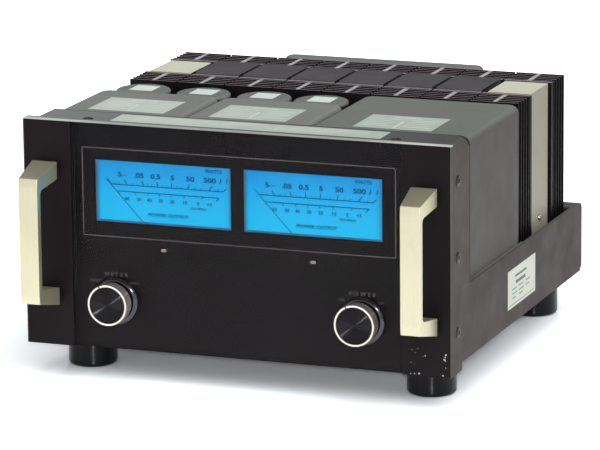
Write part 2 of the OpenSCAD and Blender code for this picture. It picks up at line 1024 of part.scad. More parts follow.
module output_transformer_cores() {
    color([0.38, 0.38, 0.40]) place() {
        for (i = [0, 1]) {
            output_place(i) transformer_core(output_core_w, output_stack);
        }
    }
}

module output_transformer_windings() {
    color([0.62, 0.36, 0.18]) place() {
        for (i = [0, 1]) {
            output_place(i) transformer_winding(output_core_w, output_stack);
        }
    }
}

module capacitor(i) {
    color([0.42, 0.43, 0.42]) place() translate([can_x[i], can_y, floor_z]) {
        rotate_extrude() {
            square([can_d / 2, can_h - can_r]);
            square([can_d / 2 - can_r, can_h]);
            intersection() {
                translate([can_d / 2 - can_r, can_h - can_r]) circle(can_r);
                square([can_d, can_h]);
            }
        }
    }
}

module capacitor_1() {
    capacitor(0);
}

module capacitor_2() {
    capacitor(1);
}

module capacitor_3() {
    capacitor(2);
}

module capacitor_4() {
    capacitor(3);
}

module sink_bracket() {
    from = sink_y + bracket_in;
    to = rear_sink_y + sink_d - bracket_in;
    middle = channel_y + channel_d / 2;
    color([0.50, 0.50, 0.50]) place() {
        difference() {
            block([-bracket_x, from, floor_z], [bracket_x, to, bracket_z]);
            block([-bracket_x - over, from + wall, floor_z - over],
                  [bracket_x + over, to - wall, bracket_z - wall]);
            for (x = sink_x, y = [channel_y - vent_d - spine_t, rear_sink_y + spine_t]) {
                block([x - vent_w / 2, y, bracket_z - wall - over],
                      [x + vent_w / 2, y + vent_d, bracket_z + over]);
            }
        }
        for (s = [-1, 1]) {
            x = s * (end_plate_x - plate_t - post_t / 2);
            difference() {
                block([x - post_t / 2, middle - post_w / 2, bracket_z - wall / 2],
                      [x + post_t / 2, middle + post_w / 2, bracket_z + post_h]);
                cross_rod(middle, end_screw_z, end_screw_r + fit, x - post_t, x + post_t);
            }
        }
    }
}

// One extrusion: mounting plate, spine and cross fins, with the mounting plate at depth zero
module sink_profile() {
    translate([-sink_w / 2, 0]) square([sink_w, spine_t]);
    translate([-spine_t / 2, 0]) square([spine_t, sink_d]);
    for (i = [1:fin_count - 1]) {
        translate([-sink_w / 2, i * fin_pitch]) square([sink_w, fin_t]);
    }
}

module front_heat_sinks() {
    color([0.07, 0.06, 0.07]) place() {
        for (x = sink_x) {
            translate([x, channel_y, bracket_z]) mirror([0, 1, 0]) linear_extrude(sink_h) sink_profile();
        }
    }
}

module rear_heat_sinks() {
    color([0.07, 0.06, 0.07]) place() {
        for (x = sink_x) {
            translate([x, rear_sink_y, bracket_z]) linear_extrude(sink_h) sink_profile();
        }
    }
}

module end_plate(side) {
    middle = channel_y + channel_d / 2;
    from = channel_y + end_plate_gap;
    to = rear_sink_y - end_plate_gap;
    high_x = end_plate_x;
    color([0.80, 0.78, 0.68]) place() mirror([side < 0 ? 1 : 0, 0, 0]) {
        difference() {
            union() {
                block([high_x - end_plate_w, from, sink_top - plate_t], [high_x, to, sink_top]);
                block([high_x - plate_t, from, end_plate_low], [high_x, to, sink_top]);
            }
            cross_rod(middle, end_screw_z, end_screw_r + fit, high_x - plate_t - over, high_x + over);
        }
    }
}

module end_plate_left() {
    end_plate(-1);
}

module end_plate_right() {
    end_plate(1);
}

module channel_covers() {
    from = channel_y + fit;
    to = rear_sink_y - fit;
    edge = sink_top - cover_sink;
    top = edge + cover_rise;
    tread = cover_step + plate_t;
    color([0.28, 0.26, 0.27]) place() {
        for (i = [1:sink_count - 2]) {
            low_x = sink_x[i] - cover_plate_w / 2;
            high_x = sink_x[i] + cover_plate_w / 2;
            block([low_x, from + cover_step, top - plate_t], [high_x, to - cover_step, top]);
            block([low_x, from + cover_step, edge - plate_t], [high_x, from + tread, top]);
            block([low_x, to - tread, edge - plate_t], [high_x, to - cover_step, top]);
            block([low_x, from, edge - plate_t], [high_x, from + tread, edge]);
            block([low_x, to - tread, edge - plate_t], [high_x, to, edge]);
            block([low_x, from, edge - cover_lip], [high_x, from + plate_t, edge]);
            block([low_x, to - plate_t, edge - cover_lip], [high_x, to, edge]);
        }
    }
}

module output_transistors() {
    color([0.62, 0.62, 0.63]) place() {
        for (x = sink_x) {
            rod(x, transistor_z, transistor_r, channel_y, channel_y + transistor_t);
            rod(x, transistor_z, transistor_can_r, channel_y, channel_y + transistor_d);
            rod(x, transistor_z, transistor_r, rear_sink_y - transistor_t, rear_sink_y);
            rod(x, transistor_z, transistor_can_r, rear_sink_y - transistor_d, rear_sink_y);
        }
    }
}

module driver_boards() {
    middle = channel_y + channel_d / 2;
    end_x = end_plate_x - plate_t - post_t - driver_end;
    color([0.10, 0.32, 0.16]) place() {
        for (s = [-1, 1]) {
            mid_x = s * (end_x + driver_gap) / 2;
            half = (end_x - driver_gap) / 2;
            block([mid_x - half, middle - board_t / 2, bracket_z],
                  [mid_x + half, middle + board_t / 2, bracket_z + driver_h]);
            for (z = [driver_h / 4, driver_h * 3 / 4]) {
                block([mid_x - half / 2, middle, bracket_z + z],
                      [mid_x + half / 2, middle + driver_part_d, bracket_z + z + driver_part_h]);
            }
        }
    }
}

module rear_cover() {
    color([0.45, 0.45, 0.44]) place()
        translate([rear_cover_x, shelf_y + rear_cover_d / 2, tray_top])
            drawn_shell(rear_cover_w, rear_cover_d, rear_cover_h, rear_cover_r, rear_cover_top_r);
}

module input_board() {
    y = shelf_y + rear_cover_d / 2;
    color([0.10, 0.32, 0.16]) place() {
        block([rear_cover_x - input_board_w / 2, y, tray_top],
              [rear_cover_x + input_board_w / 2, y + board_t, tray_top + input_board_h]);
    }
}

module supply_board() {
    z = floor_z + boss_h;
    from = sink_y + bracket_in + wall + over;
    to = rear_sink_y + sink_d - bracket_in - wall - over;
    color([0.10, 0.32, 0.16]) place() {
        block([-supply_x, from, z], [supply_x, to, z + board_t]);
        for (s = [-1, 1]) {
            block([s * supply_x / 2 - supply_part_h, (from + to) / 2 - supply_part_h, z],
                  [s * supply_x / 2 + supply_part_h, (from + to) / 2 + supply_part_h, z + supply_part_h]);
        }
    }
}

module ac_inlet() {
    color([0.08, 0.08, 0.08]) place() translate([inlet_x, body_d, rear_z]) {
        difference() {
            union() {
                block([-inlet_w / 2, -inlet_d, -inlet_h / 2], [inlet_w / 2, over, inlet_h / 2]);
                block([-inlet_w / 2 - inlet_lip, 0, -inlet_h / 2 - inlet_lip],
                      [inlet_w / 2 + inlet_lip, inlet_flange, inlet_h / 2 + inlet_lip]);
            }
            block([inlet_wall_x - inlet_w / 2, inlet_flange - inlet_depth, inlet_wall_z - inlet_h / 2],
                  [inlet_w / 2 - inlet_wall_x, inlet_flange + over, inlet_h / 2 - inlet_wall_z]);
        }
        for (c = [[-contact_x, live_z], [0, earth_z], [contact_x, live_z]]) {
            block([c[0] - contact_t / 2, -inlet_depth, c[1] - contact_w / 2],
                  [c[0] + contact_t / 2, contact_len - inlet_depth, c[1] + contact_w / 2]);
        }
    }
}

module fuse_holder() {
    color([0.09, 0.09, 0.09]) place() {
        rod(fuse_x, rear_z, fuse_r, body_d - fuse_in, body_d + over);
        rod(fuse_x, rear_z, fuse_head_r, body_d, body_d + fuse_out);
    }
}

module input_jacks() {
    color([0.80, 0.66, 0.32]) place() {
        for (x = jack_x) {
            difference() {
                union() {
                    rod(x, rear_z, jack_body_r, body_d - jack_in, body_d + over);
                    rod(x, rear_z, jack_collar_r, body_d, body_d + jack_collar_t);
                    rod(x, rear_z, jack_r, body_d, body_d + jack_len);
                }
                rod(x, rear_z, jack_bore_r, body_d, body_d + jack_len + over);
            }
        }
    }
}

module mode_switch() {
    back = body_d - wall;
    color([0.14, 0.14, 0.14]) place() {
        difference() {
            block([mode_x - mode_w / 2, back - mode_d, rear_z - mode_h / 2],
                  [mode_x + mode_w / 2, back, rear_z + mode_h / 2]);
            block([mode_x - mode_slot_w / 2, back - mode_slot_d, rear_z - mode_slot_h / 2],
                  [mode_x + mode_slot_w / 2, back + over, rear_z + mode_slot_h / 2]);
        }
    }
}

module mode_slider() {
    left = mode_x - mode_slot_w / 2 + free;
    half = mode_slot_h / 2 - free;
    color([0.75, 0.75, 0.74]) place() {
        block([left, body_d - wall - mode_slot_d + free, rear_z - half],
              [left + slider_w, body_d + slider_out, rear_z + half]);
    }
}

module strip_screw_places() {
    for (x = strip_x, i = [0:strip_count - 1]) {
        translate([x + (i - (strip_count - 1) / 2) * (strip_gap + strip_rib), body_d + strip_base, rear_z])
            rotate([-90, 0, 0]) children();
    }
}

module speaker_terminals() {
    color([0.11, 0.10, 0.10]) place() {
        difference() {
            for (x = strip_x) {
                block([x - strip_w / 2, body_d, rear_z - strip_h / 2],
                      [x + strip_w / 2, body_d + strip_base, rear_z + strip_h / 2]);
                for (i = [0:strip_count]) {
                    left = x - strip_w / 2 + i * (strip_gap + strip_rib);
                    block([left, body_d, rear_z - strip_h / 2],
                          [left + strip_rib, body_d + terminal_reach, rear_z + strip_h / 2]);
                }
            }
            strip_screw_places() screw_hole(strip_screw_r + running, strip_screw_len + free);
        }
    }
}

module terminal_screws() {
    color([0.78, 0.76, 0.70]) place() {
        strip_screw_places() {
            cylinder(r = strip_head_r, h = strip_head_h);
            translate([0, 0, -strip_screw_len]) cylinder(r = strip_screw_r, h = strip_screw_len + over);
        }
    }
}

module feet() {
    color([0.05, 0.05, 0.05]) place() {
        foot_places() rotate_extrude() difference() {
            union() {
                translate([0, foot_edge]) square([foot_r, foot_h - foot_edge]);
                square([foot_r - foot_edge, foot_h]);
                translate([foot_r - foot_edge, foot_edge]) circle(foot_edge);
            }
            translate([-over, -over]) square([foot_bore_r + over, foot_h + 2 * over]);
            translate([-over, -over]) square([foot_sink_r + over, foot_sink_d + over]);
        }
    }
}

module chassis_screws() {
    color([0.62, 0.61, 0.58]) place() {
        foot_places() {
            translate([0, 0, foot_sink_d - foot_head_h]) cylinder(r = foot_head_r, h = foot_head_h);
            translate([0, 0, foot_sink_d - over])
                cylinder(r = foot_screw_r, h = floor_z - fit - foot_sink_d + over);
        }
        for (s = [-1, 1]) {
            translate([s * end_plate_x, channel_y + channel_d / 2, end_screw_z]) rotate([0, s * 90, 0]) {
                cylinder(r = end_head_r, h = end_head_h);
                translate([0, 0, -end_screw_len]) cylinder(r = end_screw_r, h = end_screw_len + over);
            }
        }
    }
}

chassis_tray();
front_frame();
rear_cover();
power_transformer_cover();
output_transformer_cover_left();
output_transformer_cover_right();
power_transformer_core();
power_transformer_winding();
output_transformer_cores();
output_transformer_windings();
capacitor_1();
capacitor_2();
capacitor_3();
capacitor_4();
sink_bracket();
front_heat_sinks();
rear_heat_sinks();
end_plate_left();
end_plate_right();
channel_covers();
output_transistors();
driver_boards();
front_glass();
display_mask();
end_cap_left();
end_cap_right();
handle_left();
handle_right();
handle_screws();
frame_screws();
indicator_lamps();
meter_case_left();
meter_case_right();
meter_dial_left();
meter_dial_right();
meter_needle_left();
meter_needle_right();
meter_movements();
meter_lamps();
meter_board();
meter_knob();
power_knob();
meter_knob_face();
power_knob_face();
knob_bezels();
meter_switch_shaft();
power_switch_shaft();
rotary_switches();
input_jacks();
speaker_terminals();
terminal_screws();
ac_inlet();
fuse_holder();
mode_switch();
mode_slider();
input_board();
supply_board();
feet();
chassis_screws();
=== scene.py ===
"""Stereo power amplifier: finishes, fine pieces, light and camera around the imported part."""

import json
import math

import bmesh
import bpy
from mathutils import Matrix, Vector

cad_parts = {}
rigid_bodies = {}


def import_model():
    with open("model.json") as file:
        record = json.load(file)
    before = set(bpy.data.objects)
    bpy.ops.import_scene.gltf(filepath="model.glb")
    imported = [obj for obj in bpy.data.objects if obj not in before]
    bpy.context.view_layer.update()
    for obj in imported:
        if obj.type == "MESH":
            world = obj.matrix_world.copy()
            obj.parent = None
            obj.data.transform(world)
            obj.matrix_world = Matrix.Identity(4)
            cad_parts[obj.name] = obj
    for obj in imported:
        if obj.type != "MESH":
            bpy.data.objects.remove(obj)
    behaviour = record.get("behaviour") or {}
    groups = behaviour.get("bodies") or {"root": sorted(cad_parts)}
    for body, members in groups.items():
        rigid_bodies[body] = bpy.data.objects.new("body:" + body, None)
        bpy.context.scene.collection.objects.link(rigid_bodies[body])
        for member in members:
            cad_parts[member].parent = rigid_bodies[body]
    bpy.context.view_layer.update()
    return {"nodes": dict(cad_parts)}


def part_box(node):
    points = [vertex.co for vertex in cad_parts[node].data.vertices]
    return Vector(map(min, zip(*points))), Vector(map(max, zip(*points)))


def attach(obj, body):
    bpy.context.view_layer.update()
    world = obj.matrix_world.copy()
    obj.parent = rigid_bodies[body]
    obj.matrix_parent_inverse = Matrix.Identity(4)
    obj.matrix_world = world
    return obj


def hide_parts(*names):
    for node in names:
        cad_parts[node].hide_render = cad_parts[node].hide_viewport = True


for left_over in list(bpy.data.objects):
    bpy.data.objects.remove(left_over)
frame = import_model()
nodes = frame["nodes"]
scene = bpy.context.scene

MM = 0.001
FRONT = Matrix.Rotation(math.radians(90), 4, "X")
REAR = Matrix.Rotation(math.radians(180), 4, "Z") @ FRONT

# Places of the main pieces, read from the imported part
glass_low, glass_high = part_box("front_glass")
mask_low, mask_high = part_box("display_mask")
dial_low, dial_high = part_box("meter_dial_right")
knob_low, knob_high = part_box("power_knob_face")
tray_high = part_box("chassis_tray")[1]
HEAD_H = 1.6 * MM
FRAME_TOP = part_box("frame_screws")[1].z - HEAD_H
RIM_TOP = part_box("front_frame")[1].z
CAN_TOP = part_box("capacitor_1")[1].z
METER_X = (dial_low.x + dial_high.x) / 2
KNOB_X = (knob_low.x + knob_high.x) / 2
KNOB_Z = (knob_low.z + knob_high.z) / 2
METER_Z = 193.9 * MM
WINDOW_W = 144.2 * MM
WINDOW_H = 62.3 * MM
PANEL_Y = -204 * MM
PIVOT_DROP = 56.85 * MM

# Thickness of printing ink, of a label and of the rules on it
INK = 0.06 * MM
LABEL = 0.2 * MM
RULE = 0.05 * MM

# Middles of the two speaker terminal strips in millimetres, and the pitch of their screws
TERMINAL_STRIPS = (-84, 112)
TERMINAL_PITCH = 15.2 * MM

# Turned rings, in radians for each metre across them
RING_PITCH = 9000.0


# Shader helpers

def rgb(red, green, blue):
    """A screen colour from 0 to 255, as the linear values that a shader takes."""
    def channel(value):
        value /= 255
        return value / 12.92 if value <= 0.04045 else ((value + 0.055) / 1.055) ** 2.4
    return (channel(red), channel(green), channel(blue), 1.0)


def shade(colour, factor):
    return tuple(min(1.0, value * factor) for value in colour[:3]) + (1.0,)


def start(name):
    made = bpy.data.materials.new(name)
    made.use_nodes = True
    return made, made.node_tree, made.node_tree.nodes["Principled BSDF"]


def add(tree, kind, values=None, **settings):
    made = tree.nodes.new("ShaderNode" + kind)
    for key, value in settings.items():
        setattr(made, key, value)
    for key, value in (values or {}).items():
        made.inputs[key].default_value = value
    return made


def join(tree, source, target):
    tree.links.new(source, target)


def place(tree, stretch=(1, 1, 1)):
    """Object coordinates in metres, stretched."""
    where = add(tree, "TexCoord")
    mapping = add(tree, "Mapping", {"Scale": stretch})
    join(tree, where.outputs["Object"], mapping.inputs["Vector"])
    return mapping.outputs["Vector"]


def axes(tree):
    """Object coordinates one by one."""
    parts = add(tree, "SeparateXYZ")
    join(tree, place(tree), parts.inputs["Vector"])
    return parts.outputs["X"], parts.outputs["Y"], parts.outputs["Z"]


def noise(tree, where, scale, detail=3.0, roughness=0.55):
    made = add(tree, "TexNoise", {"Scale": scale, "Detail": detail, "Roughness": roughness})
    join(tree, where, made.inputs["Vector"])
    return made.outputs["Fac"]


def ramp(tree, factor, *stops):
    made = add(tree, "ValToRGB")
    elements = made.color_ramp.elements
    elements.remove(elements[1])
    elements[0].position, elements[0].color = stops[0]
    for at, colour in stops[1:]:
        elements.new(at).color = colour
    join(tree, factor, made.inputs["Fac"])
    return made.outputs["Color"]


def spread(tree, value, low, high, from_low=0.3, from_high=0.7):
    """Maps a value from one range to another and holds it at the ends."""
    made = add(tree, "MapRange", {"From Min": from_low, "From Max": from_high,
                                  "To Min": low, "To Max": high})
    join(tree, value, made.inputs["Value"])
    return made.outputs["Result"]


def maths(tree, operation, first, second=None):
    made = add(tree, "Math", operation=operation)
    for socket, value in zip(made.inputs, (first, second)):
        if isinstance(value, (int, float)):
            socket.default_value = value
        elif value is not None:
            join(tree, value, socket)
    return made.outputs["Value"]


def distance(tree, across, up):
    squares = maths(tree, "ADD", maths(tree, "POWER", across, 2.0), maths(tree, "POWER", up, 2.0))
    return maths(tree, "SQRT", squares)


def aside(tree, x, middle):
    """How far a place lies to the right of the nearer of two middles, one on each side."""
    return maths(tree, "SUBTRACT", x, maths(tree, "MULTIPLY", maths(tree, "SIGN", x), middle))


def mixed(tree, factor, first, second):
    made = add(tree, "Mix", data_type="RGBA")
    for index, value in ((0, factor), (6, first), (7, second)):
        if isinstance(value, (int, float, tuple)):
            made.inputs[index].default_value = value
        else:
            join(tree, value, made.inputs[index])
    return made.outputs[2]


def mottled(tree, patches, colour, amount):
    return ramp(tree, patches, (0.3, shade(colour, 1 - amount)), (0.7, shade(colour, 1 + amount)))


def relief(tree, shader, height, strength, distance):
    made = add(tree, "Bump", {"Strength": strength, "Distance": distance})
    join(tree, height, made.inputs["Height"])
    join(tree, made.outputs["Normal"], shader.inputs["Normal"])


def upward(tree, low=0.25, high=0.9):
    """How far a face looks up."""
    parts = add(tree, "SeparateXYZ")
    join(tree, add(tree, "NewGeometry").outputs["Normal"], parts.inputs["Vector"])
    return spread(tree, parts.outputs["Z"], 0.0, 1.0, low, high)


def edges(tree, radius):
    """One along sharp edges, nought on flat faces."""
    soft = add(tree, "Bevel", {"Radius": radius}, samples=4)
    dot = add(tree, "VectorMath", operation="DOT_PRODUCT")
    join(tree, soft.outputs["Normal"], dot.inputs[0])
    join(tree, add(tree, "NewGeometry").outputs["Normal"], dot.inputs[1])
    return spread(tree, dot.outputs["Value"], 1.0, 0.0, 0.8, 0.98)


def settle(shader, metallic=0.0, specular=0.5, coat=0.0):
    shader.inputs["Metallic"].default_value = metallic
    shader.inputs["Specular IOR Level"].default_value = specular
    shader.inputs["Coat Weight"].default_value = coat
    shader.inputs["Coat Roughness"].default_value = 0.1


def clad(tree, shader, colour, roughness):
    """Links a colour and a gloss that change over the surface."""
    join(tree, colour, shader.inputs["Base Color"])
    join(tree, roughness, shader.inputs["Roughness"])


# Finishes

def paint(tree, side, top, edge=None):
    """Colour, grain and smears of painted sheet metal, with painted light: the top and the sides in separate
    tones for how the light falls on them, and paler along its edges, partly wear and partly a painted edge
    highlight.
    """
    where = place(tree)
    patches = noise(tree, where, 9.0, 6.0, 0.6)
    # Painted light: faces that look up take the lit top tone, the others the shaded side tone
    colour = mixed(tree, upward(tree), mottled(tree, patches, side, 0.1), mottled(tree, patches, top, 0.08))
    grains = noise(tree, where, 1500.0, 2.0)
    colour = mixed(tree, spread(tree, grains, 0.0, 0.35, 0.5, 0.8), colour, shade(side, 0.6))
    if edge:
        # Paler edges: partly wear, partly a painted highlight along the edges
        worn = maths(tree, "MULTIPLY", edges(tree, 0.8 * MM), spread(tree, patches, 0.15, 0.6))
        colour = mixed(tree, worn, colour, edge)
    return colour, grains, noise(tree, where, 38.0, 4.0)


def enamel(name, side, top, edge):
    """Painted sheet metal with a fine orange peel."""
    made, tree, shader = start(name)
    settle(shader, specular=0.15)
    colour, grains, smears = paint(tree, side, top, edge)
    clad(tree, shader, colour, spread(tree, smears, 0.55, 0.72))
    relief(tree, shader, grains, 0.22, 0.25 * MM)
    return made


def framed_enamel(name, side, top, rim):
    """Paint of the front frame: dust on the left of its top, a pale rim in front that is bare metal
    brightened as painted highlight and painted reflection, and a painted shadow along its rear edge.
    """
    made, tree, shader = start(name)
    settle(shader, specular=0.15)
    colour, grains, smears = paint(tree, side, top, rim)
    x, y, z = axes(tree)
    dust = maths(tree, "MULTIPLY", upward(tree), spread(tree, x, 0.4, 0.0, -0.22, 0.2))
    colour = mixed(tree, dust, colour, rgb(182, 184, 184))
    low = maths(tree, "MULTIPLY", spread(tree, z, 0.4, 0.0, 0.04, 0.2), spread(tree, smears, 0.7, 1.0))
    colour = mixed(tree, low, colour, shade(side, 0.55))
    # The rim in front: bare metal, brightened as a painted highlight, and brighter towards both ends as a
    # painted reflection
    front = spread(tree, y, 1.0, 0.0, PANEL_Y + 5.5 * MM, PANEL_Y + 7 * MM)
    high = spread(tree, z, 0.0, 1.0, RIM_TOP - 1.3 * MM, RIM_TOP - 0.9 * MM)
    worn = spread(tree, maths(tree, "ABSOLUTE", x), 0.55, 1.0, 0.13, 0.18)
    bare_and_lit_rim = maths(tree, "MULTIPLY", maths(tree, "MULTIPLY", front, high), worn)
    colour = mixed(tree, bare_and_lit_rim, colour, rim)
    # Painted shadow: a dark band along the rear edge, where the gap to the covers lies in shade
    rear_gap_shadow = spread(tree, y, 0.0, 0.9, PANEL_Y + 55.8 * MM, PANEL_Y + 56.8 * MM)
    clad(tree, shader, mixed(tree, rear_gap_shadow, colour, rgb(34, 31, 31)), spread(tree, smears, 0.55, 0.72))
    relief(tree, shader, grains, 0.22, 0.25 * MM)
    return made


def sleeved(name, side, top, rim):
    """Capacitor can: a pale cap with a bright rim, over a sleeve painted dark as the shade below the cap."""
    made, tree, shader = start(name)
    settle(shader, specular=0.15)
    colour, grains, smears = paint(tree, side, top)
    colour = mixed(tree, maths(tree, "MULTIPLY", edges(tree, 2 * MM), 0.7), colour, rim)
    # Painted shade on the sleeve below the cap
    shade_below_cap = spread(tree, axes(tree)[2], 1.0, 0.0, CAN_TOP - 4 * MM, CAN_TOP - 2.8 * MM)
    clad(tree, shader, mixed(tree, shade_below_cap, colour, rgb(46, 45, 45)), spread(tree, smears, 0.45, 0.6))
    relief(tree, shader, grains, 0.15, 0.2 * MM)
    return made


def finned(name):
    """Black anodised fins, with paler sawn ends on top."""
    made, tree, shader = start(name)
    settle(shader, specular=0.12)
    where = place(tree)
    side = mottled(tree, noise(tree, where, 30.0, 5.0), rgb(20, 16, 20), 0.25)
    sawn = mottled(tree, noise(tree, where, 160.0, 4.0), rgb(150, 141, 146), 0.2)
    grains = noise(tree, where, 700.0, 2.0)
    clad(tree, shader, mixed(tree, upward(tree, 0.6, 0.95), side, sawn), spread(tree, grains, 0.36, 0.55))
    relief(tree, shader, grains, 0.1, 0.2 * MM)
    return made


def mineral(name, colour, contrast, grain, roughness, bump, metallic=0.0, specular=0.5, coat=0.0,
            stretch=(1, 1, 1), edge=None):
    """A moulded, cast or cut surface: mottled colour, uneven gloss and a fine grain."""
    made, tree, shader = start(name)
    settle(shader, metallic, specular, coat)
    where = place(tree, stretch)
    patches = noise(tree, where, 30.0, 5.0)
    tone = mottled(tree, patches, colour, contrast)
    if edge:
        tone = mixed(tree, maths(tree, "MULTIPLY", edges(tree, 0.6 * MM), 0.7), tone, edge)
    grains = noise(tree, where, grain, 2.0)
    clad(tree, shader, tone, spread(tree, grains, *roughness))
    relief(tree, shader, grains, bump, 0.2 * MM)
    return made


def brushed(name, colour, along, roughness, metallic, contrast=0.06, top=None):
    """Metal with fine lines along one axis, faint cloudy stains, and another tone on top if one is given,
    which paints the light falling on the top.
    """
    made, tree, shader = start(name)
    settle(shader, metallic)
    lines = noise(tree, place(tree, tuple(0.03 if axis == along else 1.0 for axis in "xyz")), 2200.0, 2.0)
    stains = noise(tree, place(tree), 22.0, 5.0, 0.6)
    tone = mottled(tree, stains, colour, contrast)
    # Painted light: faces that look up take the lit top tone
    if top:
        tone = mixed(tree, upward(tree), tone, mottled(tree, stains, top, contrast))
    tone = mixed(tree, spread(tree, lines, 0.0, 0.22), tone, shade(colour, 0.78))
    clad(tree, shader, tone, spread(tree, maths(tree, "ADD", lines, stains), *roughness, 0.8, 1.2))
    relief(tree, shader, lines, 0.12, 0.06 * MM)
    return made


def nicks(tree, spots):
    """One inside small ragged marks on the front, whose places and radii are given in millimetres."""
    x, _, z = axes(tree)
    ragged = noise(tree, place(tree), 700.0, 3.0)
    found = None
    for spot_x, spot_z, radius in spots:
        away = distance(tree, maths(tree, "SUBTRACT", x, spot_x * MM),
                        maths(tree, "SUBTRACT", z, spot_z * MM))
        torn = maths(tree, "ADD", away, spread(tree, ragged, -0.7 * radius * MM, 0.7 * radius * MM))
        mark = spread(tree, torn, 1.0, 0.0, 0.7 * radius * MM, 0.95 * radius * MM)
        found = maths(tree, "MAXIMUM", found, mark) if found else mark
    return found


def chipped_black(name):
    """Black anodised end cap with a few chips down to bare metal near its lower edge."""
    made, tree, shader = start(name)
    settle(shader, specular=0.12)
    where = place(tree)
    patches = noise(tree, where, 14.0, 5.0)
    colour = mottled(tree, patches, rgb(27, 21, 24), 0.15)
    rubbed = maths(tree, "MULTIPLY", edges(tree, 0.5 * MM), spread(tree, patches, 0.0, 0.3))
    colour = mixed(tree, rubbed, colour, rgb(95, 90, 88))
    chips = nicks(tree, ((218.9, 57.3, 0.9), (218.1, 54.8, 0.8), (217.3, 52.3, 0.9), (218.5, 51.0, 0.7),
                         (218.9, 43.9, 0.6), (215.6, 36.2, 0.9), (197.8, 54.7, 0.7), (195.3, 53.7, 0.5),
                         (191.4, 36.4, 0.9), (186.7, 35.9, 0.6), (182.6, 35.6, 0.6), (184.0, 60.0, 0.4),
                         (187.5, 57.0, 0.35), (190.0, 61.5, 0.35), (183.0, 47.0, 0.4), (187.0, 46.0, 0.35)))
    grains = noise(tree, where, 1300.0, 2.0)
    clad(tree, shader, mixed(tree, chips, colour, rgb(214, 212, 208)), spread(tree, grains, 0.4, 0.55))
    relief(tree, shader, grains, 0.12, 0.15 * MM)
    return made


def clear_glass(name):
    """Coated front glass with a very faint tint."""
    made, tree, shader = start(name)
    settle(shader)
    shader.inputs["Transmission Weight"].default_value = 1.0
    shader.inputs["IOR"].default_value = 1.1
    shader.inputs["Roughness"].default_value = 0.0
    tint = mottled(tree, noise(tree, place(tree), 12.0, 5.0), rgb(246, 247, 248), 0.02)
    join(tree, tint, shader.inputs["Base Color"])
    return made


def printed_black(name):
    """Black print behind the glass, a little dustier low down."""
    made, tree, shader = start(name)
    settle(shader, specular=0.1)
    where = place(tree)
    low = spread(tree, axes(tree)[2], 1.0, 0.0, 0.05, 0.25)
    dust = maths(tree, "MULTIPLY", low, spread(tree, noise(tree, where, 7.0, 3.0), 0.5, 0.8))
    clad(tree, shader, mixed(tree, dust, rgb(10, 6, 8), rgb(21, 16, 17)),
         spread(tree, noise(tree, where, 200.0), 0.5, 0.6))
    return made


def backlit_blue(name):
    """Meter dial lit from behind, with painted shade: deeper blue at the top and the right end, dim at the
    other edges.
    """
    made, tree, shader = start(name)
    settle(shader, specular=0.2)
    where = place(tree)
    x, _, z = axes(tree)
    low, high = METER_Z - WINDOW_H / 2, METER_Z + WINDOW_H / 2
    height = spread(tree, z, 0.0, 1.0, low, high)
    # Deeper blue towards the top: uneven backlight together with painted shade from the upper edge of the
    # window
    glow = ramp(tree, height, (0.0, rgb(18, 192, 246)), (0.45, rgb(12, 178, 240)),
                (0.75, rgb(4, 160, 230)), (1.0, rgb(0, 140, 214)))
    across = aside(tree, x, METER_X)
    # Painted shade at the right end of the window
    right = spread(tree, across, 0.0, 0.7, 62 * MM, 68.5 * MM)
    glow = mixed(tree, right, glow, rgb(6, 86, 150))
    # Painted shade at the left end, where the wall of the case shades the dial
    left = spread(tree, across, 1.0, 0.0, -76.5 * MM, -71.5 * MM)
    glow = mixed(tree, left, glow, rgb(60, 62, 104))
    # Painted shadow of the trim along the foot of the window
    foot = spread(tree, z, 0.6, 0.0, low - 3.5 * MM, low)
    glow = mixed(tree, foot, glow, rgb(10, 92, 150))
    cloud = spread(tree, noise(tree, where, 40.0, 4.0), 0.0, 0.12)
    glow = mixed(tree, cloud, glow, rgb(40, 200, 250))
    join(tree, mottled(tree, noise(tree, where, 300.0), rgb(6, 15, 22), 0.1), shader.inputs["Base Color"])
    join(tree, glow, shader.inputs["Emission Color"])
    shader.inputs["Emission Strength"].default_value = 1.0
    shader.inputs["Roughness"].default_value = 0.5
    return made


def glowing(name, colour, glow, contrast=0.12):
    """Print or plastic that takes up some of the light behind the dial; on the needle and the window trims
    this glow is painted light from the dial.
    """
    made, tree, shader = start(name)
    settle(shader, specular=0.1)
    where = place(tree)
    clad(tree, shader, mottled(tree, noise(tree, where, 300.0), colour, contrast),
         spread(tree, noise(tree, where, 900.0), 0.5, 0.7))
    join(tree, mottled(tree, noise(tree, where, 90.0, 4.0), glow, contrast), shader.inputs["Emission Color"])
    shader.inputs["Emission Strength"].default_value = 1.0
    return made


def lean_normals(tree, shader, lean):
    """Tilts the shading by a vector that turns with the piece."""
    turned_with = add(tree, "VectorTransform", vector_type="VECTOR",
                      convert_from="OBJECT", convert_to="WORLD")
    join(tree, lean, turned_with.inputs["Vector"])
    total = add(tree, "VectorMath", operation="ADD")
    join(tree, add(tree, "NewGeometry").outputs["Normal"], total.inputs[0])
    join(tree, turned_with.outputs["Vector"], total.inputs[1])
    whole = add(tree, "VectorMath", operation="NORMALIZE")
    join(tree, total.outputs["Vector"], whole.inputs[0])
    join(tree, whole.outputs["Vector"], shader.inputs["Normal"])


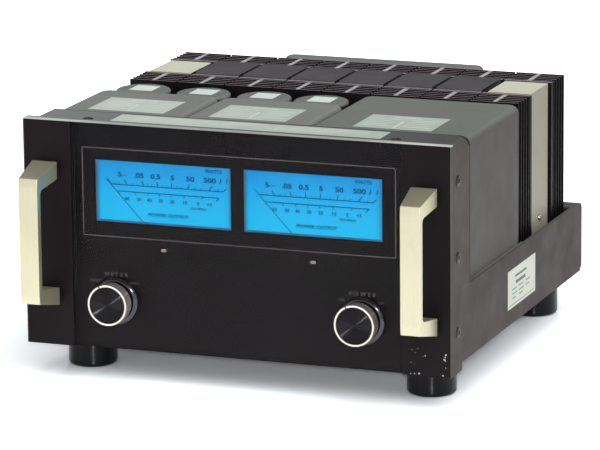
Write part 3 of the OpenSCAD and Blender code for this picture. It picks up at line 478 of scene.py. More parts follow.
def spun_black(name):
    """Black knob face turned in fine rings, which fan each reflection out from the middle."""
    made, tree, shader = start(name)
    settle(shader, metallic=1.0)
    shader.inputs["Roughness"].default_value = 0.14
    x, _, z = axes(tree)
    out_x = aside(tree, x, KNOB_X)
    out_z = maths(tree, "SUBTRACT", z, KNOB_Z)
    away = maths(tree, "MAXIMUM", distance(tree, out_x, out_z), 0.01 * MM)
    rings = maths(tree, "SINE", maths(tree, "MULTIPLY", away, RING_PITCH))
    tone = mottled(tree, noise(tree, place(tree), 60.0, 4.0), rgb(40, 38, 40), 0.12)
    join(tree, mixed(tree, spread(tree, rings, 0.0, 0.3, -1.0, 1.0), tone, rgb(28, 26, 28)),
         shader.inputs["Base Color"])
    lean = maths(tree, "DIVIDE", maths(tree, "MULTIPLY", rings, 0.55), away)
    outward = add(tree, "CombineXYZ")
    join(tree, maths(tree, "MULTIPLY", out_x, lean), outward.inputs["X"])
    join(tree, maths(tree, "MULTIPLY", out_z, lean), outward.inputs["Z"])
    lean_normals(tree, shader, outward.outputs["Vector"])
    return made


def ringed(name, colour, axis, lean, roughness, metallic=0.0, specular=0.2):
    """A turned surface whose fine rings draw each highlight out along its axis."""
    made, tree, shader = start(name)
    settle(shader, metallic, specular)
    where = place(tree)
    clad(tree, shader, mottled(tree, noise(tree, where, 30.0, 5.0), colour, 0.15),
         spread(tree, noise(tree, where, 260.0, 2.0), *roughness))
    rings = maths(tree, "SINE", maths(tree, "MULTIPLY", axes(tree)["xyz".index(axis)], RING_PITCH))
    along = add(tree, "CombineXYZ")
    join(tree, maths(tree, "MULTIPLY", rings, lean), along.inputs[axis.upper()])
    lean_normals(tree, shader, along.outputs["Vector"])
    return made


def faded(name, left, right):
    """Pale label stock, paler towards the left."""
    made, tree, shader = start(name)
    settle(shader, specular=0.2)
    where = place(tree)
    tone = mixed(tree, spread(tree, axes(tree)[0], 0.0, 1.0, -0.15, 0.1), left, right)
    worn = mottled(tree, noise(tree, where, 30.0, 5.0), (0.92, 0.92, 0.92, 1), 0.06)
    blend = add(tree, "Mix", data_type="RGBA", blend_type="MULTIPLY")
    blend.inputs[0].default_value = 1.0
    join(tree, tone, blend.inputs[6])
    join(tree, worn, blend.inputs[7])
    grains = noise(tree, where, 500.0, 2.0)
    clad(tree, shader, blend.outputs[2], spread(tree, grains, 0.55, 0.7))
    relief(tree, shader, grains, 0.06, 0.2 * MM)
    return made


# The side and top colours of each paint below are shaded and lit copies of one paint: painted light
cover_enamel = enamel("cover_enamel", rgb(104, 101, 100), rgb(124, 127, 124), rgb(136, 137, 134))
cover_dusty = enamel("cover_dusty", rgb(104, 101, 100), rgb(136, 139, 136), rgb(146, 148, 145))
frame_enamel = framed_enamel("frame_enamel", rgb(92, 86, 84), rgb(88, 89, 89), rgb(206, 210, 205))
tray_enamel = enamel("tray_enamel", rgb(85, 78, 78), rgb(96, 93, 92), rgb(108, 103, 101))
can_enamel = sleeved("can_enamel", rgb(118, 122, 119), rgb(124, 127, 124), rgb(160, 163, 160))
cap_black = chipped_black("cap_black")
glass_clear = clear_glass("glass_clear")
mask_black = printed_black("mask_black")
dial_glow = backlit_blue("dial_glow")
fin_black = finned("fin_black")
spine_metal = brushed("spine_metal", rgb(200, 200, 202), "x", (0.5, 0.65), metallic=0.2, contrast=0.14)
# The much paler top tone of the end plates is painted light
plate_champagne = brushed("plate_champagne", rgb(176, 172, 152), "z", (0.45, 0.6), 0.1, 0.05,
                          rgb(238, 237, 218))
plate_dark = mineral("plate_dark", rgb(88, 85, 89), 0.12, 800.0, (0.5, 0.65), 0.15, specular=0.2)
handle_champagne = brushed("handle_champagne", rgb(228, 221, 189), "z", (0.36, 0.46), 0.78, 0.04)
knob_metal = ringed("knob_metal", rgb(228, 218, 206), "y", 0.6, (0.16, 0.24), 0.85, 0.5)
knob_black = spun_black("knob_black")
ring_chrome = mineral("ring_chrome", rgb(78, 78, 82), 0.05, 1200.0, (0.1, 0.16), 0.03, metallic=1.0)
# The needle and the window trims glow with painted light from the dial
needle_dark = glowing("needle_dark", rgb(6, 20, 36), rgb(14, 92, 156))
scale_ink = glowing("scale_ink", rgb(3, 10, 20), rgb(3, 66, 122))
trim_glow = glowing("trim_glow", rgb(30, 40, 50), rgb(48, 108, 152), 0.25)
panel_ink = mineral("panel_ink", rgb(118, 110, 112), 0.12, 900.0, (0.6, 0.8), 0.05, specular=0.1)
faint_ink = mineral("faint_ink", rgb(104, 99, 100), 0.12, 900.0, (0.6, 0.8), 0.05, specular=0.1)
mark_black = mineral("mark_black", rgb(26, 24, 25), 0.2, 900.0, (0.4, 0.6), 0.05, specular=0.2)
meter_plastic = mineral("meter_plastic", rgb(120, 126, 132), 0.1, 700.0, (0.5, 0.7), 0.1)
movement_metal = mineral("movement_metal", rgb(120, 120, 122), 0.12, 900.0, (0.35, 0.5), 0.1, metallic=0.8)
tube_glass = mineral("tube_glass", rgb(205, 228, 240), 0.08, 900.0, (0.1, 0.25), 0.04, coat=0.5)
lens_amber = glowing("lens_amber", rgb(150, 134, 130), rgb(78, 62, 60), 0.2)
board_green = mineral("board_green", rgb(30, 84, 48), 0.25, 500.0, (0.35, 0.55), 0.15)
core_steel = mineral("core_steel", rgb(96, 96, 100), 0.2, 900.0, (0.4, 0.6), 0.3, metallic=0.7,
                     stretch=(0.05, 1, 0.05))
copper_wire = mineral("copper_wire", rgb(176, 102, 58), 0.2, 900.0, (0.3, 0.45), 0.4, metallic=0.9,
                      stretch=(0.05, 0.05, 1))
bracket_steel = brushed("bracket_steel", rgb(150, 150, 150), "x", (0.35, 0.5), metallic=0.9)
screw_dark = mineral("screw_dark", rgb(52, 46, 45), 0.2, 900.0, (0.25, 0.42), 0.1, metallic=0.5,
                     edge=rgb(120, 115, 112))
screw_bright = mineral("screw_bright", rgb(205, 202, 192), 0.1, 900.0, (0.18, 0.35), 0.1, metallic=1.0)
gold_contact = mineral("gold_contact", rgb(226, 186, 96), 0.08, 900.0, (0.18, 0.3), 0.05, metallic=1.0)
moulding_black = mineral("moulding_black", rgb(34, 32, 32), 0.2, 700.0, (0.35, 0.55), 0.2, specular=0.35)
slider_grey = mineral("slider_grey", rgb(190, 190, 186), 0.08, 700.0, (0.4, 0.55), 0.15)
foot_black = ringed("foot_black", rgb(9, 8, 12), "z", 0.3, (0.18, 0.24))
label_pale = faded("label_pale", rgb(212, 219, 212), rgb(198, 208, 200))
label_can = mineral("label_can", rgb(230, 239, 235), 0.04, 500.0, (0.5, 0.7), 0.06, specular=0.2)
label_white = mineral("label_white", rgb(250, 253, 243), 0.02, 500.0, (0.5, 0.7), 0.05, specular=0.2)
label_rule = mineral("label_rule", rgb(222, 230, 223), 0.05, 600.0, (0.5, 0.7), 0.05, specular=0.2)
label_ink = mineral("label_ink", rgb(120, 130, 122), 0.08, 600.0, (0.5, 0.7), 0.05)
legend_ink = mineral("legend_ink", rgb(205, 203, 196), 0.05, 600.0, (0.5, 0.7), 0.05)

plain_nodes = (
    (cover_enamel, ("rear_cover", "power_transformer_cover")),
    (cover_dusty, ("output_transformer_cover_left", "output_transformer_cover_right")),
    (core_steel, ("power_transformer_core", "output_transformer_cores")),
    (copper_wire, ("power_transformer_winding", "output_transformer_windings")),
    (can_enamel, ("capacitor_1", "capacitor_2", "capacitor_3", "capacitor_4")),
    (bracket_steel, ("sink_bracket",)),
    (fin_black, ("front_heat_sinks", "rear_heat_sinks")),
    (movement_metal, ("output_transistors", "meter_movements", "rotary_switches")),
    (board_green, ("driver_boards", "meter_board", "input_board", "supply_board")),
    (mask_black, ("display_mask",)),
    (screw_dark, ("handle_screws",)),
    (lens_amber, ("indicator_lamps",)),
    (meter_plastic, ("meter_case_left", "meter_case_right")),
    (dial_glow, ("meter_dial_left", "meter_dial_right")),
    (needle_dark, ("meter_needle_left", "meter_needle_right")),
    (tube_glass, ("meter_lamps",)),
    (knob_black, ("meter_knob_face", "power_knob_face")),
    (screw_bright, ("meter_switch_shaft", "power_switch_shaft")),
    (gold_contact, ("input_jacks",)),
    (moulding_black, ("speaker_terminals", "ac_inlet", "fuse_holder", "mode_switch")),
    (slider_grey, ("mode_slider",)),
    (foot_black, ("feet",)),
)
for finish, names in plain_nodes:
    for name in names:
        nodes[name].data.materials.clear()
        nodes[name].data.materials.append(finish)


# Shaping helpers

def solid(name, form, finish):
    """Turns a bmesh into an object of one finish."""
    mesh = bpy.data.meshes.new(name)
    form.to_mesh(mesh)
    form.free()
    mesh.materials.append(finish)
    made = bpy.data.objects.new(name, mesh)
    scene.collection.objects.link(made)
    return made


def keep(name, form, finish, body="chassis", stands_for=(), smooth_angle=35):
    """Makes a bmesh a piece that rides on a body, smooth up to an angle between its faces."""
    made = solid(name, form, finish)
    made.data.polygons.foreach_set("use_smooth", [True] * len(made.data.polygons))
    made.data.set_sharp_from_angle(angle=math.radians(smooth_angle))
    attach(made, body)
    if stands_for:
        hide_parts(*stands_for)
    made.modifiers.new("even_shading", "WEIGHTED_NORMAL").keep_sharp = True
    return made


def merged(node):
    """A copy of a CAD node's mesh with its loose triangles joined up."""
    form = bmesh.new()
    form.from_mesh(nodes[node].data)
    bmesh.ops.remove_doubles(form, verts=form.verts, dist=0.002 * MM)
    bmesh.ops.dissolve_limit(form, angle_limit=math.radians(0.3), verts=form.verts[:], edges=form.edges[:])
    return form


def round_off(form, rims, width, segments):
    bmesh.ops.bevel(form, geom=rims, offset=width, offset_type="OFFSET", segments=segments, profile=0.5,
                    affect="EDGES", clamp_overlap=True, material=-1)


def soften(form, width, segments=2, angle=35):
    """Rounds off the sharp edges of a closed form."""
    limit = math.radians(angle)
    sharp = [e for e in form.edges if len(e.link_faces) == 2 and e.calc_face_angle() > limit]
    round_off(form, sharp, width, segments)
    return form


def slab(form, low, high, width=0.0):
    """A box between two corners, with its edges rounded off."""
    low, high = Vector(low), Vector(high)
    matrix = Matrix.Translation((low + high) / 2) @ Matrix.Diagonal((*(high - low), 1.0))
    verts = bmesh.ops.create_cube(form, size=1.0, matrix=matrix)["verts"]
    if width:
        round_off(form, list({e for v in verts for e in v.link_edges}), width, 2)


def stroke(form, first, last, width, y):
    """A printed line on an upright plane, between two places given in x and z."""
    first, last = Vector((first[0], 0, first[1])), Vector((last[0], 0, last[1]))
    run = last - first
    turn = Matrix.Rotation(-math.atan2(run.z, run.x), 4, "Y")
    middle = (first + last) / 2 + Vector((0, y, 0))
    matrix = Matrix.Translation(middle) @ turn @ Matrix.Diagonal((run.length, INK, width, 1.0))
    bmesh.ops.create_cube(form, size=1.0, matrix=matrix)


def turned(form, outline, matrix, steps=28):
    """A lathe shape from an outline of radius and height, set by a matrix."""
    verts = [form.verts.new((radius, 0, height)) for radius, height in outline]
    rims = [form.edges.new(pair) for pair in zip(verts, verts[1:])]
    made = bmesh.ops.spin(form, geom=verts + rims, cent=(0, 0, 0), axis=(0, 0, 1), angle=math.radians(360),
                          steps=steps, use_merge=True)
    reached = set(verts) | {v for v in made["geom_last"] if isinstance(v, bmesh.types.BMVert)}
    growing = list(reached)
    while growing:
        for e in growing.pop().link_edges:
            fresh = [v for v in e.verts if v not in reached]
            reached.update(fresh)
            growing.extend(fresh)
    whole = list(reached)
    bmesh.ops.transform(form, matrix=matrix, verts=whole)
    bmesh.ops.remove_doubles(form, verts=whole, dist=0.001 * MM)
    faces = list({f for v in whole if v.is_valid for f in v.link_faces})
    bmesh.ops.recalc_face_normals(form, faces=faces)


def sideways(side):
    """Turns an upright lathe shape to the left or the right."""
    return Matrix.Rotation(side * math.radians(90), 4, "Y")


def words(form, text, height, where, facing=FRONT, stretch=1.0, bold=0.0, spacing=1.0):
    """Flat lettering of a given capital height, made a mesh before it is placed."""
    curve = bpy.data.curves.new("lettering", "FONT")
    curve.body = text
    curve.size = height / 0.7
    curve.align_x = "CENTER"
    curve.align_y = "CENTER"
    curve.extrude = INK / 2
    curve.offset = bold * curve.size
    curve.space_character = spacing
    curve.resolution_u = 3
    holder = bpy.data.objects.new("lettering", curve)
    scene.collection.objects.link(holder)
    mesh = bpy.data.meshes.new_from_object(holder.evaluated_get(bpy.context.evaluated_depsgraph_get()))
    mesh.transform(Matrix.Translation(where) @ facing @ Matrix.Diagonal((stretch, 1, 1, 1)))
    form.from_mesh(mesh)
    bpy.data.objects.remove(holder)
    bpy.data.curves.remove(curve)
    bpy.data.meshes.remove(mesh)


# Sheet metal with softened edges

def sheet_metal():
    for node, width, finish, slot in (
        ("chassis_tray", 0.6, tray_enamel, "chassis_paint"),
        ("front_frame", 0.7, frame_enamel, "chassis_paint"),
        ("end_plate_left", 0.7, plate_champagne, "plate_champagne"),
        ("end_plate_right", 0.7, plate_champagne, "plate_champagne"),
        ("channel_covers", 0.5, plate_dark, "plate_dark"),
        ("end_cap_left", 0.6, cap_black, "black_anodised"),
        ("end_cap_right", 0.6, cap_black, "black_anodised"),
    ):
        keep(node + "_folded", soften(merged(node), width * MM), finish, stands_for=(node,))


def cover_ledges():
    """Narrow ledges that close the gap between the outer transformer covers and the walls of the tray."""
    form = bmesh.new()
    top = tray_high.z - 0.2 * MM
    thick, lap, wall = 1.2 * MM, 0.4 * MM, 1.8 * MM
    for side, node in ((-1, "output_transformer_cover_left"), (1, "power_transformer_cover")):
        low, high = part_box(node)
        inner = high.x if side > 0 else -low.x
        ends = sorted((side * (inner - lap), side * (tray_high.x - wall)))
        slab(form, (ends[0], low.y + 1 * MM, top - thick), (ends[1], high.y, top), 0.3 * MM)
    keep("cover_ledges", form, cover_enamel)


# Front panel

def front_glass():
    """The pane, drawn in a little at the back to leave room for the print."""
    form = merged("front_glass")
    middle = (glass_low.y + glass_high.y) / 2
    print_gap = 0.25 * MM
    for vert in form.verts:
        if vert.co.y > middle:
            vert.co.y -= print_gap
    pane = keep("front_glass_pane", soften(form, 0.35 * MM), glass_clear,
                stands_for=("front_glass",))
    pane.visible_shadow = False


def rounded_loop(half, low, high, radius):
    """Places in x and z round a rectangle with rounded corners."""
    spots = []
    steps = 4
    for x, z, turn in ((half - radius, high - radius, 0), (radius - half, high - radius, 90),
                       (radius - half, low + radius, 180), (half - radius, low + radius, 270)):
        for step in range(steps + 1):
            angle = math.radians(turn + 90 * step / steps)
            spots.append((x + radius * math.cos(angle), z + radius * math.sin(angle)))
    return spots


def panel_print():
    """Thin line round both meters and the knob legends, on the print behind the glass."""
    y = mask_low.y - 0.1 * MM
    line_half, line_low, line_high, line_w = 164.7 * MM, 147.6 * MM, 237.0 * MM, 0.65 * MM
    form = bmesh.new()
    spots = rounded_loop(line_half, line_low, line_high, 1.5 * MM)
    for first, last in zip(spots, spots[1:] + spots[:1]):
        stroke(form, first, last, line_w, y)
    keep("meter_outline", form, panel_ink)
    title_h, title_z = 4.1 * MM, KNOB_Z + 25.7 * MM
    word_h, word_z = 2.6 * MM, KNOB_Z + 18.3 * MM
    form = bmesh.new()
    for x, title, left, right in ((-KNOB_X, "METER", "WATTS", "HOLD"), (KNOB_X, "POWER", "OFF", "ON")):
        words(form, title, title_h, (x, y, title_z), spacing=1.65)
        words(form, left, word_h, (x - 22 * MM, y, word_z), stretch=1.1)
        words(form, right, word_h, (x + 19.5 * MM, y, word_z), stretch=1.1)
    keep("knob_legends", form, faint_ink)


def window_trims():
    """Edges of each meter case that show along the foot and the right end of its window, glowing with painted
    light from the dial.
    """
    form = bmesh.new()
    near, far = mask_high.y, mask_high.y + 1.2 * MM
    lap, foot_h, end_w, soft = 1.4 * MM, 1.9 * MM, 1.1 * MM, 0.2 * MM
    low_z, high_z = METER_Z - WINDOW_H / 2, METER_Z + WINDOW_H / 2
    for side in (-1, 1):
        low_x, high_x = side * METER_X - WINDOW_W / 2, side * METER_X + WINDOW_W / 2
        slab(form, (low_x - lap, near, low_z - lap), (high_x + lap, far, low_z + foot_h), soft)
        slab(form, (high_x - end_w, near, low_z), (high_x + lap, far, high_z), soft)
    keep("window_trims", form, trim_glow)


def meter_scale(side, name):
    """Printed scale of one meter: watts above the double line, decibels below it."""
    y = dial_low.y - INK
    middle = side * METER_X - (1.1 + 0.4 * side) * MM
    upper, lower = 4.5, -2.2
    form = bmesh.new()

    def line(x, z, end_x, end_z, width):
        ends = [(middle + a * MM, METER_Z + b * MM) for a, b in ((x, z), (end_x, end_z))]
        stroke(form, *ends, width * MM, y)

    def ticks(places, z, length, width):
        for x in places:
            lean = x / (z + PIVOT_DROP / MM)
            line(x, z, x + lean * length, z + length, width)

    def print_row(row, z, height, stretch, bold):
        for text, x in row:
            words(form, text, height * MM, (middle + x * MM, y, METER_Z + z * MM), stretch=stretch, bold=bold)

    for ends in (
        (-58.7, upper, 60.2, upper, 0.95), (60.2, upper, 63.6, 8.0, 0.95), (64.1, 12.8, 64.5, 17.4, 1.0),
        (56.4, 12.0, 58.0, 17.2, 1.2), (-53.0, lower, 55.8, lower, 0.95), (55.8, lower, 52.4, -5.8, 0.95),
        (-53.0, lower, -50.4, -5.2, 0.8), (-58.7, upper, -64.2, 10.2, 0.7),
    ):
        line(*ends)
    ticks((-42.1, -24.5, -9.6, 5.2, 22.4, 44.8), upper, 5.2, 0.95)
    ticks((-54.0, -49.5, -36.1, -30.6, -19.5, -15.4, -4.2, 0.4, 10.8, 15.4, 29.2, 35.8, 53.2),
          upper, 2.6, 0.6)
    ticks((-35.0, -21.3, -8.1, 4.6, 19.2, 39.0), lower, -2.9, 0.85)
    print_row((("5", -50.2), (".05", -29.6), ("0.5", -11.8), ("5", 6.2), ("50", 25.2), ("500", 46.0)),
              14.7, 4.8, 1.3, 0.035)
    print_row((("mW", -45.0),), 14.2, 2.4, 1.1, 0.0)
    print_row((("60", -42.8), ("50", -29.8), ("40", -18.6), ("30", -6.6), ("20", 5.4), ("10", 19.0),
               ("0", 33.2), ("+3", 45.4)), -9.6, 3.5, 1.0, 0.025)
    print_row((("WATTS", 50.0),), 24.1, 3.5, 1.05, 0.03)
    print_row((("DECIBELS", 33.6),), -14.8, 2.1, 1.35, 0.03)
    print_row((("POWER OUTPUT", 1.4),), -24.3, 3.4, 1.15, 0.03)
    keep(name, form, scale_ink)


# Handles

def handle(node):
    """Bent bar, faceted at both ends of its front, wider at its roots than at its front bar."""
    low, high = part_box(node)
    middle = (low + high) / 2
    top = (high.z - low.z) / 2
    front, back = low.y, high.y
    splay, bar, leg = 9.6 * MM, 7 * MM, 18 * MM
    facet_h, facet_d = 8.5 * MM, 1.1 * MM
    front_w, root_w = 20.2, 27
    throat = top - leg
    crown = top - splay
    outline = [
        (back, top, 0), (front + facet_d, crown, 1), (front, crown - facet_h, 20),
        (front, facet_h - crown, 20), (front + facet_d, -crown, 1), (back, -top, 0), (back, -throat, 0),
        (front + bar, splay / 2 - throat, 5), (front + bar, throat - splay / 2, 5), (back, throat, 0),
    ]
    form = bmesh.new()
    face = form.faces.new([form.verts.new((low.x, y, middle.z + z)) for y, z, _ in outline])
    made = bmesh.ops.extrude_face_region(form, geom=[face])["geom"]
    bmesh.ops.translate(form, vec=(high.x - low.x, 0, 0),
                        verts=[v for v in made if isinstance(v, bmesh.types.BMVert)])
    bmesh.ops.recalc_face_normals(form, faces=form.faces)
    for index, (y, z, radius) in enumerate(outline):
        if not radius:
            continue
        here = Vector((y, z))
        before, after = (Vector(outline[(index + step) % len(outline)][:2]) for step in (-1, 1))
        half = (before - here).angle(after - here) / 2
        rims = [e for e in form.edges
                if all((Vector((v.co.y, v.co.z - middle.z)) - here).length < 0.01 * MM for v in e.verts)]
        round_off(form, rims, radius * MM / math.tan(half), 10)
    narrow = front_w / root_w
    for vert in form.verts:
        share = (vert.co.y - front) / (back - front)
        vert.co.x = middle.x + (vert.co.x - middle.x) * (narrow + (1 - narrow) * share)
    soften(form, 0.7 * MM, 3, 40)
    keep(node + "_bar", form, handle_champagne, stands_for=(node,), smooth_angle=40)


# Knobs

def knob(node, body):
    keep(node + "_turned", soften(merged(node), 0.35 * MM, 3, 40), knob_metal, body, (node,))


def knob_mark(name, side, body):
    """Dark insert in the notch of a knob's rim."""
    form = bmesh.new()
    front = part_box("power_knob")[0].y
    half_w, inner, outer = 0.75 * MM, 18.7 * MM, 20.75 * MM
    slab(form, (-half_w, front + 0.05 * MM, inner), (half_w, front + 1.2 * MM, outer), 0.1 * MM)
    turn = Matrix.Translation((side * KNOB_X, 0, KNOB_Z)) @ Matrix.Rotation(math.radians(-25), 4, "Y")
    bmesh.ops.transform(form, matrix=turn, verts=form.verts)
    keep(name, form, mark_black, body)


def knob_collars():
    """Dark plated dished ring on the glass behind each knob."""
    form = bmesh.new()
    outline = [(24.3, 0), (24.0, 0.6), (22.6, 1.6), (20.9, 2.2), (20.5, 2.2), (20.3, 2.0), (20.3, 0),
               (24.3, 0)]
    for side in (-1, 1):
        matrix = Matrix.Translation((side * KNOB_X, glass_low.y, KNOB_Z)) @ FRONT
        turned(form, [(radius * MM, height * MM) for radius, height in outline], matrix, 64)
    keep("knob_collars", form, ring_chrome, stands_for=("knob_bezels",), smooth_angle=30)


# Fasteners

def socket_head(radius, height, shank, length, recess):
    """Outline of a domed screw with a round recess, from the head's middle to the shank's end."""
    floor_h = height - recess
    outline = [
        (0, floor_h), (radius * 0.42, floor_h), (radius * 0.46, height), (radius * 0.72, height * 0.93),
        (radius * 0.9, height * 0.68), (radius, height * 0.3), (radius, 0), (shank, 0), (shank, -length),
        (0, -length),
    ]
    return [(across * MM, up * MM) for across, up in outline]


def screw_heads(node, form, finish):
    keep(node.replace("screws", "screw_heads"), form, finish, stands_for=(node,), smooth_angle=50)


def frame_screws():
    form = bmesh.new()
    outline = socket_head(5.6, HEAD_H / MM, 2.4, 7, 1.0)
    side_y, top_x, top_y = PANEL_Y + 19.5 * MM, 161.7 * MM, PANEL_Y + 18 * MM
    for side in (-1, 1):
        for height in (75.3, 150.3, 226.2):
            spot = (side * tray_high.x, side_y, height * MM)
            turned(form, outline, Matrix.Translation(spot) @ sideways(side))
        turned(form, outline, Matrix.Translation((side * top_x, top_y, FRAME_TOP)))
    screw_heads("frame_screws", form, screw_dark)


def chassis_screws():
    """Screws up through the feet, and one in each end plate."""
    form = bmesh.new()
    foot = socket_head(5, 4, 2.6, 29, 2)
    down = Matrix.Rotation(math.radians(180), 4, "X")
    for x in (-182, 182):
        for y in (-137.5, 201):
            turned(form, foot, Matrix.Translation((x * MM, y * MM, 14 * MM)) @ down)
    end_h = 2
    end = socket_head(3.6, end_h, 2, 6, 0.9)
    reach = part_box("chassis_screws")[1].x - end_h * MM
    for side in (-1, 1):
        spot = (side * reach, 125.5 * MM, 122 * MM)
        turned(form, end, Matrix.Translation(spot) @ sideways(side))
    screw_heads("chassis_screws", form, screw_bright)


def terminal_screws():
    form = bmesh.new()
    low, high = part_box("terminal_screws")
    head_h = 3
    outline = socket_head(4.2, head_h, 1.9, 7, 1.3)
    back = Matrix.Rotation(math.radians(-90), 4, "X")
    for strip in TERMINAL_STRIPS:
        for index in range(4):
            x = strip * MM + (index - 1.5) * TERMINAL_PITCH
            spot = (x, high.y - head_h * MM, (low.z + high.z) / 2)
            turned(form, outline, Matrix.Translation(spot) @ back)
    screw_heads("terminal_screws", form, screw_bright)


# Labels and spine ends

def top_labels():
    """Pale bare labels on the covers, the cans and the frame, with plain rules on the larger ones."""
    plates, squares, rules = bmesh.new(), bmesh.new(), bmesh.new()
    soft = 0.1 * MM

    def rule(left, right, near, far, base):
        slab(rules, (left, near, base + LABEL), (right, far, base + LABEL + RULE))

    cover_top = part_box("power_transformer_cover")[1].z
    front, back = PANEL_Y + 87.5 * MM, PANEL_Y + 149.5 * MM
    for low_x in (-191.5, -60.5, 92.5):
        left, right = low_x * MM, (low_x + 82) * MM
        slab(plates, (left, front, cover_top), (right, back, cover_top + LABEL), soft)
        for first, last, step, wide in (
            (26, 54, 7, 2.6), (6, 36, 17, 1.2), (48, 76, 17, 1.2), (6, 32, 25, 1.2), (50, 74, 25, 1.2),
            (6, 36, 33, 1.2), (48, 76, 33, 1.2), (6, 30, 41, 1.2), (48, 70, 41, 1.2), (6, 36, 49, 1.2),
            (48, 76, 49, 1.2),
        ):
            rule(left + first * MM, left + last * MM, back - (step + wide) * MM, back - step * MM, cover_top)
        rule(left + 40 * MM, left + 42.4 * MM, front + 5 * MM, back - 26 * MM, cover_top)
    for number in range(1, 5):
        low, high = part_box(f"capacitor_{number}")
        middle = (low + high) / 2
        slab(squares, (middle.x - 12.5 * MM, middle.y - 10 * MM, CAN_TOP),
             (middle.x + 13 * MM, middle.y + 16 * MM, CAN_TOP + LABEL), soft)
    front, back = PANEL_Y + 7.5 * MM, PANEL_Y + 51 * MM
    slab(plates, (-138 * MM, front, FRAME_TOP), (145.7 * MM, back, FRAME_TOP + LABEL), soft)
    for first, last, step, wide in (
        (-120, -30, 6, 1.3), (-20, 20, 4, 2.2), (30, 128, 6, 1.3), (-120, -30, 12, 1.3), (-26, 26, 12, 1.3),
        (30, 128, 12, 1.3), (-120, -30, 18, 1.3), (30, 128, 18, 1.3),
    ):
        rule(first * MM, last * MM, back - (step + wide) * MM, back - step * MM, FRAME_TOP)
    keep("top_label_plates", plates, label_pale)
    keep("can_labels", squares, label_can)
    keep("top_label_rules", rules, label_rule)


def side_label():
    """White label on the right side of the tray, bare but for plain rules."""
    plate, rules = bmesh.new(), bmesh.new()
    x = tray_high.x
    low_y, high_y = PANEL_Y + 180 * MM, PANEL_Y + 272 * MM
    low_z, high_z = 58.2 * MM, 98.2 * MM
    face = x + LABEL
    slab(plate, (x, low_y, low_z), (face, high_y, high_z), 0.1 * MM)
    for first, last, drop, wide in (
        (24, 62, 8, 2.4), (26, 58, 14, 3.4), (14, 30, 21, 1.0), (36, 52, 21, 1.0), (60, 74, 21, 1.0),
        (14, 30, 25.5, 1.0), (36, 52, 25.5, 1.0), (60, 70, 25.5, 1.0), (14, 26, 30, 1.0), (36, 48, 30, 1.0),
        (4, 88, 36.5, 0.6),
    ):
        slab(rules, (face, low_y + first * MM, high_z - (drop + wide) * MM),
             (face + RULE, low_y + last * MM, high_z - drop * MM))
    keep("side_label_plate", plate, label_white)
    keep("side_label_rules", rules, label_ink)


def spine_ends():
    """Bare cut ends of the heat sink spines, which taper away from the channel."""
    form = bmesh.new()
    sinks, gap, half_w = 8, 1.5 * MM, 2.6 * MM
    for node, near_share, far_share in (("front_heat_sinks", 0.0, 0.8), ("rear_heat_sinks", 0.2, 1.0)):
        low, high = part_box(node)
        pitch = (high.x - low.x + gap) / sinks
        depth = high.y - low.y
        first, last = low.y + near_share * depth + 0.3 * MM, low.y + far_share * depth - 0.3 * MM
        narrow = first if near_share == 0 else last
        for index in range(sinks):
            x = low.x + (index + 0.5) * pitch - gap / 2
            before = set(form.verts)
            slab(form, (x - half_w, first, high.z), (x + half_w, last, high.z + 0.15 * MM), 0.08 * MM)
            for vert in set(form.verts) - before:
                vert.co.x = x + (vert.co.x - x) * (0.45 + 0.55 * abs(vert.co.y - narrow) / (last - first))
    keep("spine_ends", form, spine_metal)


# Rear legends

def rear_legends():
    form = bmesh.new()
    y = tray_high.y + 0.05 * MM
    z = 81 * MM
    for text, x, rise, height in (
        ("AC", -184, 18, 3.2), ("FUSE", -146, 15, 2.6), ("INPUT", 0, 17, 3.0), ("L", -14, -14, 2.8),
        ("R", 14, -14, 2.8), ("MONO", 39, 11, 2.0), ("STEREO", 54, 11, 2.0), ("MODE", 46, 17, 2.6),
        ("OUTPUT L", -84, 19, 3.0), ("OUTPUT R", 112, 19, 3.0),
    ):
        words(form, text, height * MM, (x * MM, y, z + rise * MM), REAR, stretch=1.15)
    for strip in TERMINAL_STRIPS:
        for index, text in enumerate(("0", "2", "4", "8")):
            x = strip * MM - (index - 1.5) * TERMINAL_PITCH
            words(form, text, 2.6 * MM, (x, y, z - 17 * MM), REAR, stretch=1.1)
    keep("rear_legends", form, legend_ink)


# Stage, light and camera

def seen_white(name, shadow, lift, mirrored):
    """White for the camera, a level by place for reflections, and a plain grey for the light thrown back."""
    made, tree, shader = start(name)
    tree.nodes.remove(shader)
    path = add(tree, "LightPath")
    direct = maths(tree, "MAXIMUM", path.outputs["Is Camera Ray"], path.outputs["Is Transmission Ray"])
    level = maths(tree, "MULTIPLY", path.outputs["Is Glossy Ray"], mirrored(tree))
    level = maths(tree, "MAXIMUM", direct, level)
    seen = maths(tree, "MAXIMUM", direct, path.outputs["Is Glossy Ray"])
    plain = add(tree, "BsdfDiffuse")
    grey = mottled(tree, noise(tree, place(tree), 5.0, 4.0), (0.42, 0.42, 0.42, 1), 0.03)
    join(tree, grey, plain.inputs["Color"])
    pale = add(tree, "BsdfDiffuse")
    white = (0.97 * shadow, 0.99 * shadow, 1.03 * shadow, 1)
    join(tree, mixed(tree, level, (0, 0, 0, 1), white), pale.inputs["Color"])
    glow = add(tree, "Emission", {"Color": (0.86, 0.94, 1.06, 1)})
    join(tree, maths(tree, "MULTIPLY", level, lift), glow.inputs["Strength"])
    bright = add(tree, "AddShader")
    join(tree, pale.outputs["BSDF"], bright.inputs[0])
    join(tree, glow.outputs["Emission"], bright.inputs[1])
    both = add(tree, "MixShader")
    join(tree, seen, both.inputs["Fac"])
    join(tree, plain.outputs["BSDF"], both.inputs[1])
    join(tree, bright.outputs["Shader"], both.inputs[2])
    join(tree, both.outputs["Shader"], tree.nodes["Material Output"].inputs["Surface"])
    return made


def near_the_middle(tree):
    """Reflections find the floor bright close to the object and dim farther out."""
    x, y, _ = axes(tree)
    return spread(tree, distance(tree, x, y), 1.0, 0.3, 0.95, 1.5)


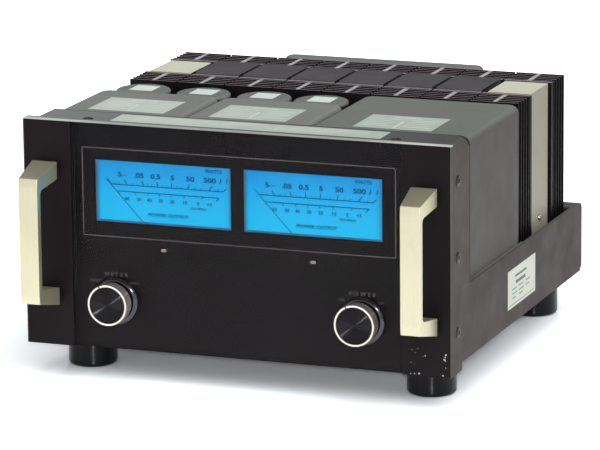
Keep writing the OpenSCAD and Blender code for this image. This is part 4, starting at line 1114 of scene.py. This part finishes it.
def before_and_beside(tree):
    """Reflections find the backdrop bright in front and on the right, and dim behind."""
    x, y, _ = axes(tree)
    front = spread(tree, y, 1.5, 0.3, -11.0, -3.0)
    return maths(tree, "MAXIMUM", front, spread(tree, x, 0.3, 1.4, 3.0, 11.0))


def floor():
    """White floor that keeps the shadow, and a low white backdrop far round it."""
    form = bmesh.new()
    bmesh.ops.create_grid(form, x_segments=8, y_segments=8, size=14.0,
                          matrix=Matrix.Translation((0, 0, -0.2 * MM)))
    solid("floor", form, seen_white("floor_white", 1.75, 0.02, near_the_middle))
    form = bmesh.new()
    verts = [form.verts.new((13.5, 0, height)) for height in (-0.1, 1.4)]
    bmesh.ops.spin(form, geom=verts + [form.edges.new(verts)], cent=(0, 0, 0), axis=(0, 0, 1),
                   angle=math.radians(360), steps=64, use_merge=True)
    solid("backdrop", form, seen_white("backdrop_white", 0.2, 1.0, before_and_beside))


def lamp(name, kind, strength, spot, colour, mirrored=False):
    """A lamp aimed at the object, never seen through glass, and seen in gloss only where that is asked."""
    light = bpy.data.lights.new(name, kind)
    light.energy = strength
    light.color = colour
    made = bpy.data.objects.new(name, light)
    scene.collection.objects.link(made)
    made.location = spot
    made.rotation_euler = (Vector((0, 0, 0.14)) - Vector(spot)).to_track_quat("-Z", "Y").to_euler()
    made.visible_glossy = mirrored
    made.visible_transmission = False
    return light


def studio():
    """Even light from the front, the right and above, and lamps on high, beside the camera and behind."""
    world = bpy.data.worlds.new("studio")
    scene.world = world
    world.use_nodes = True
    tree = world.node_tree
    parts = add(tree, "SeparateXYZ")
    join(tree, add(tree, "TexCoord").outputs["Generated"], parts.inputs["Vector"])
    ahead = maths(tree, "MULTIPLY", spread(tree, parts.outputs["Y"], 1.1, 0.0, -0.8, -0.3),
                  spread(tree, parts.outputs["Z"], 1.0, 0.15, 0.2, 0.5))
    right = spread(tree, parts.outputs["X"], 0.0, 0.7, 0.1, 0.8)
    above = spread(tree, parts.outputs["Z"], 0.12, 0.3, 0.6, 0.9)
    level = maths(tree, "MAXIMUM", maths(tree, "MAXIMUM", ahead, right), above)
    back = tree.nodes["Background"]
    back.inputs["Color"].default_value = (0.99, 1.0, 0.99, 1)
    join(tree, level, back.inputs["Strength"])
    lamp("top_light", "SUN", 1.7, (1.2, -1.6, 3.0), (0.98, 1.0, 0.98)).angle = math.radians(60)
    lamp("camera_light", "AREA", 45.0, (1.48, -4.0, 1.2), (1.0, 0.99, 0.97), True).size = 0.2
    lamp("rear_light", "AREA", 60.0, (-1.4, 4.2, 1.5), (1.0, 1.0, 1.0)).size = 1.0


def camera():
    """The photograph's viewpoint: slightly from the right and above, through a long lens."""
    turn, rise, roll = math.radians(20.5), math.radians(13.08), math.radians(-0.54)
    focal_px, photo_w = 4283, 600
    spot = (1.495, -4.018, 1.122)
    back = Vector((math.sin(turn) * math.cos(rise), -math.cos(turn) * math.cos(rise), math.sin(rise)))
    right = Vector((math.cos(turn), math.sin(turn), 0))
    up = back.cross(right)
    across = math.cos(roll) * right + math.sin(roll) * up
    upright = math.cos(roll) * up - math.sin(roll) * right
    lens = bpy.data.cameras.new("camera")
    lens.sensor_width = 36
    lens.lens = lens.sensor_width * focal_px / photo_w
    lens.clip_end = 100
    eye = bpy.data.objects.new("camera", lens)
    scene.collection.objects.link(eye)
    eye.matrix_world = Matrix.Translation(spot) @ Matrix((across, upright, back)).transposed().to_4x4()
    scene.camera = eye


sheet_metal()
cover_ledges()
front_glass()
panel_print()
window_trims()
meter_scale(-1, "meter_scale_left")
meter_scale(1, "meter_scale_right")
handle("handle_left")
handle("handle_right")
knob("meter_knob", "meter_selector")
knob("power_knob", "power_selector")
knob_mark("meter_knob_mark", -1, "meter_selector")
knob_mark("power_knob_mark", 1, "power_selector")
knob_collars()
frame_screws()
chassis_screws()
terminal_screws()
top_labels()
side_label()
spine_ends()
rear_legends()
floor()
studio()
camera()
scene.view_settings.view_transform = "Standard"
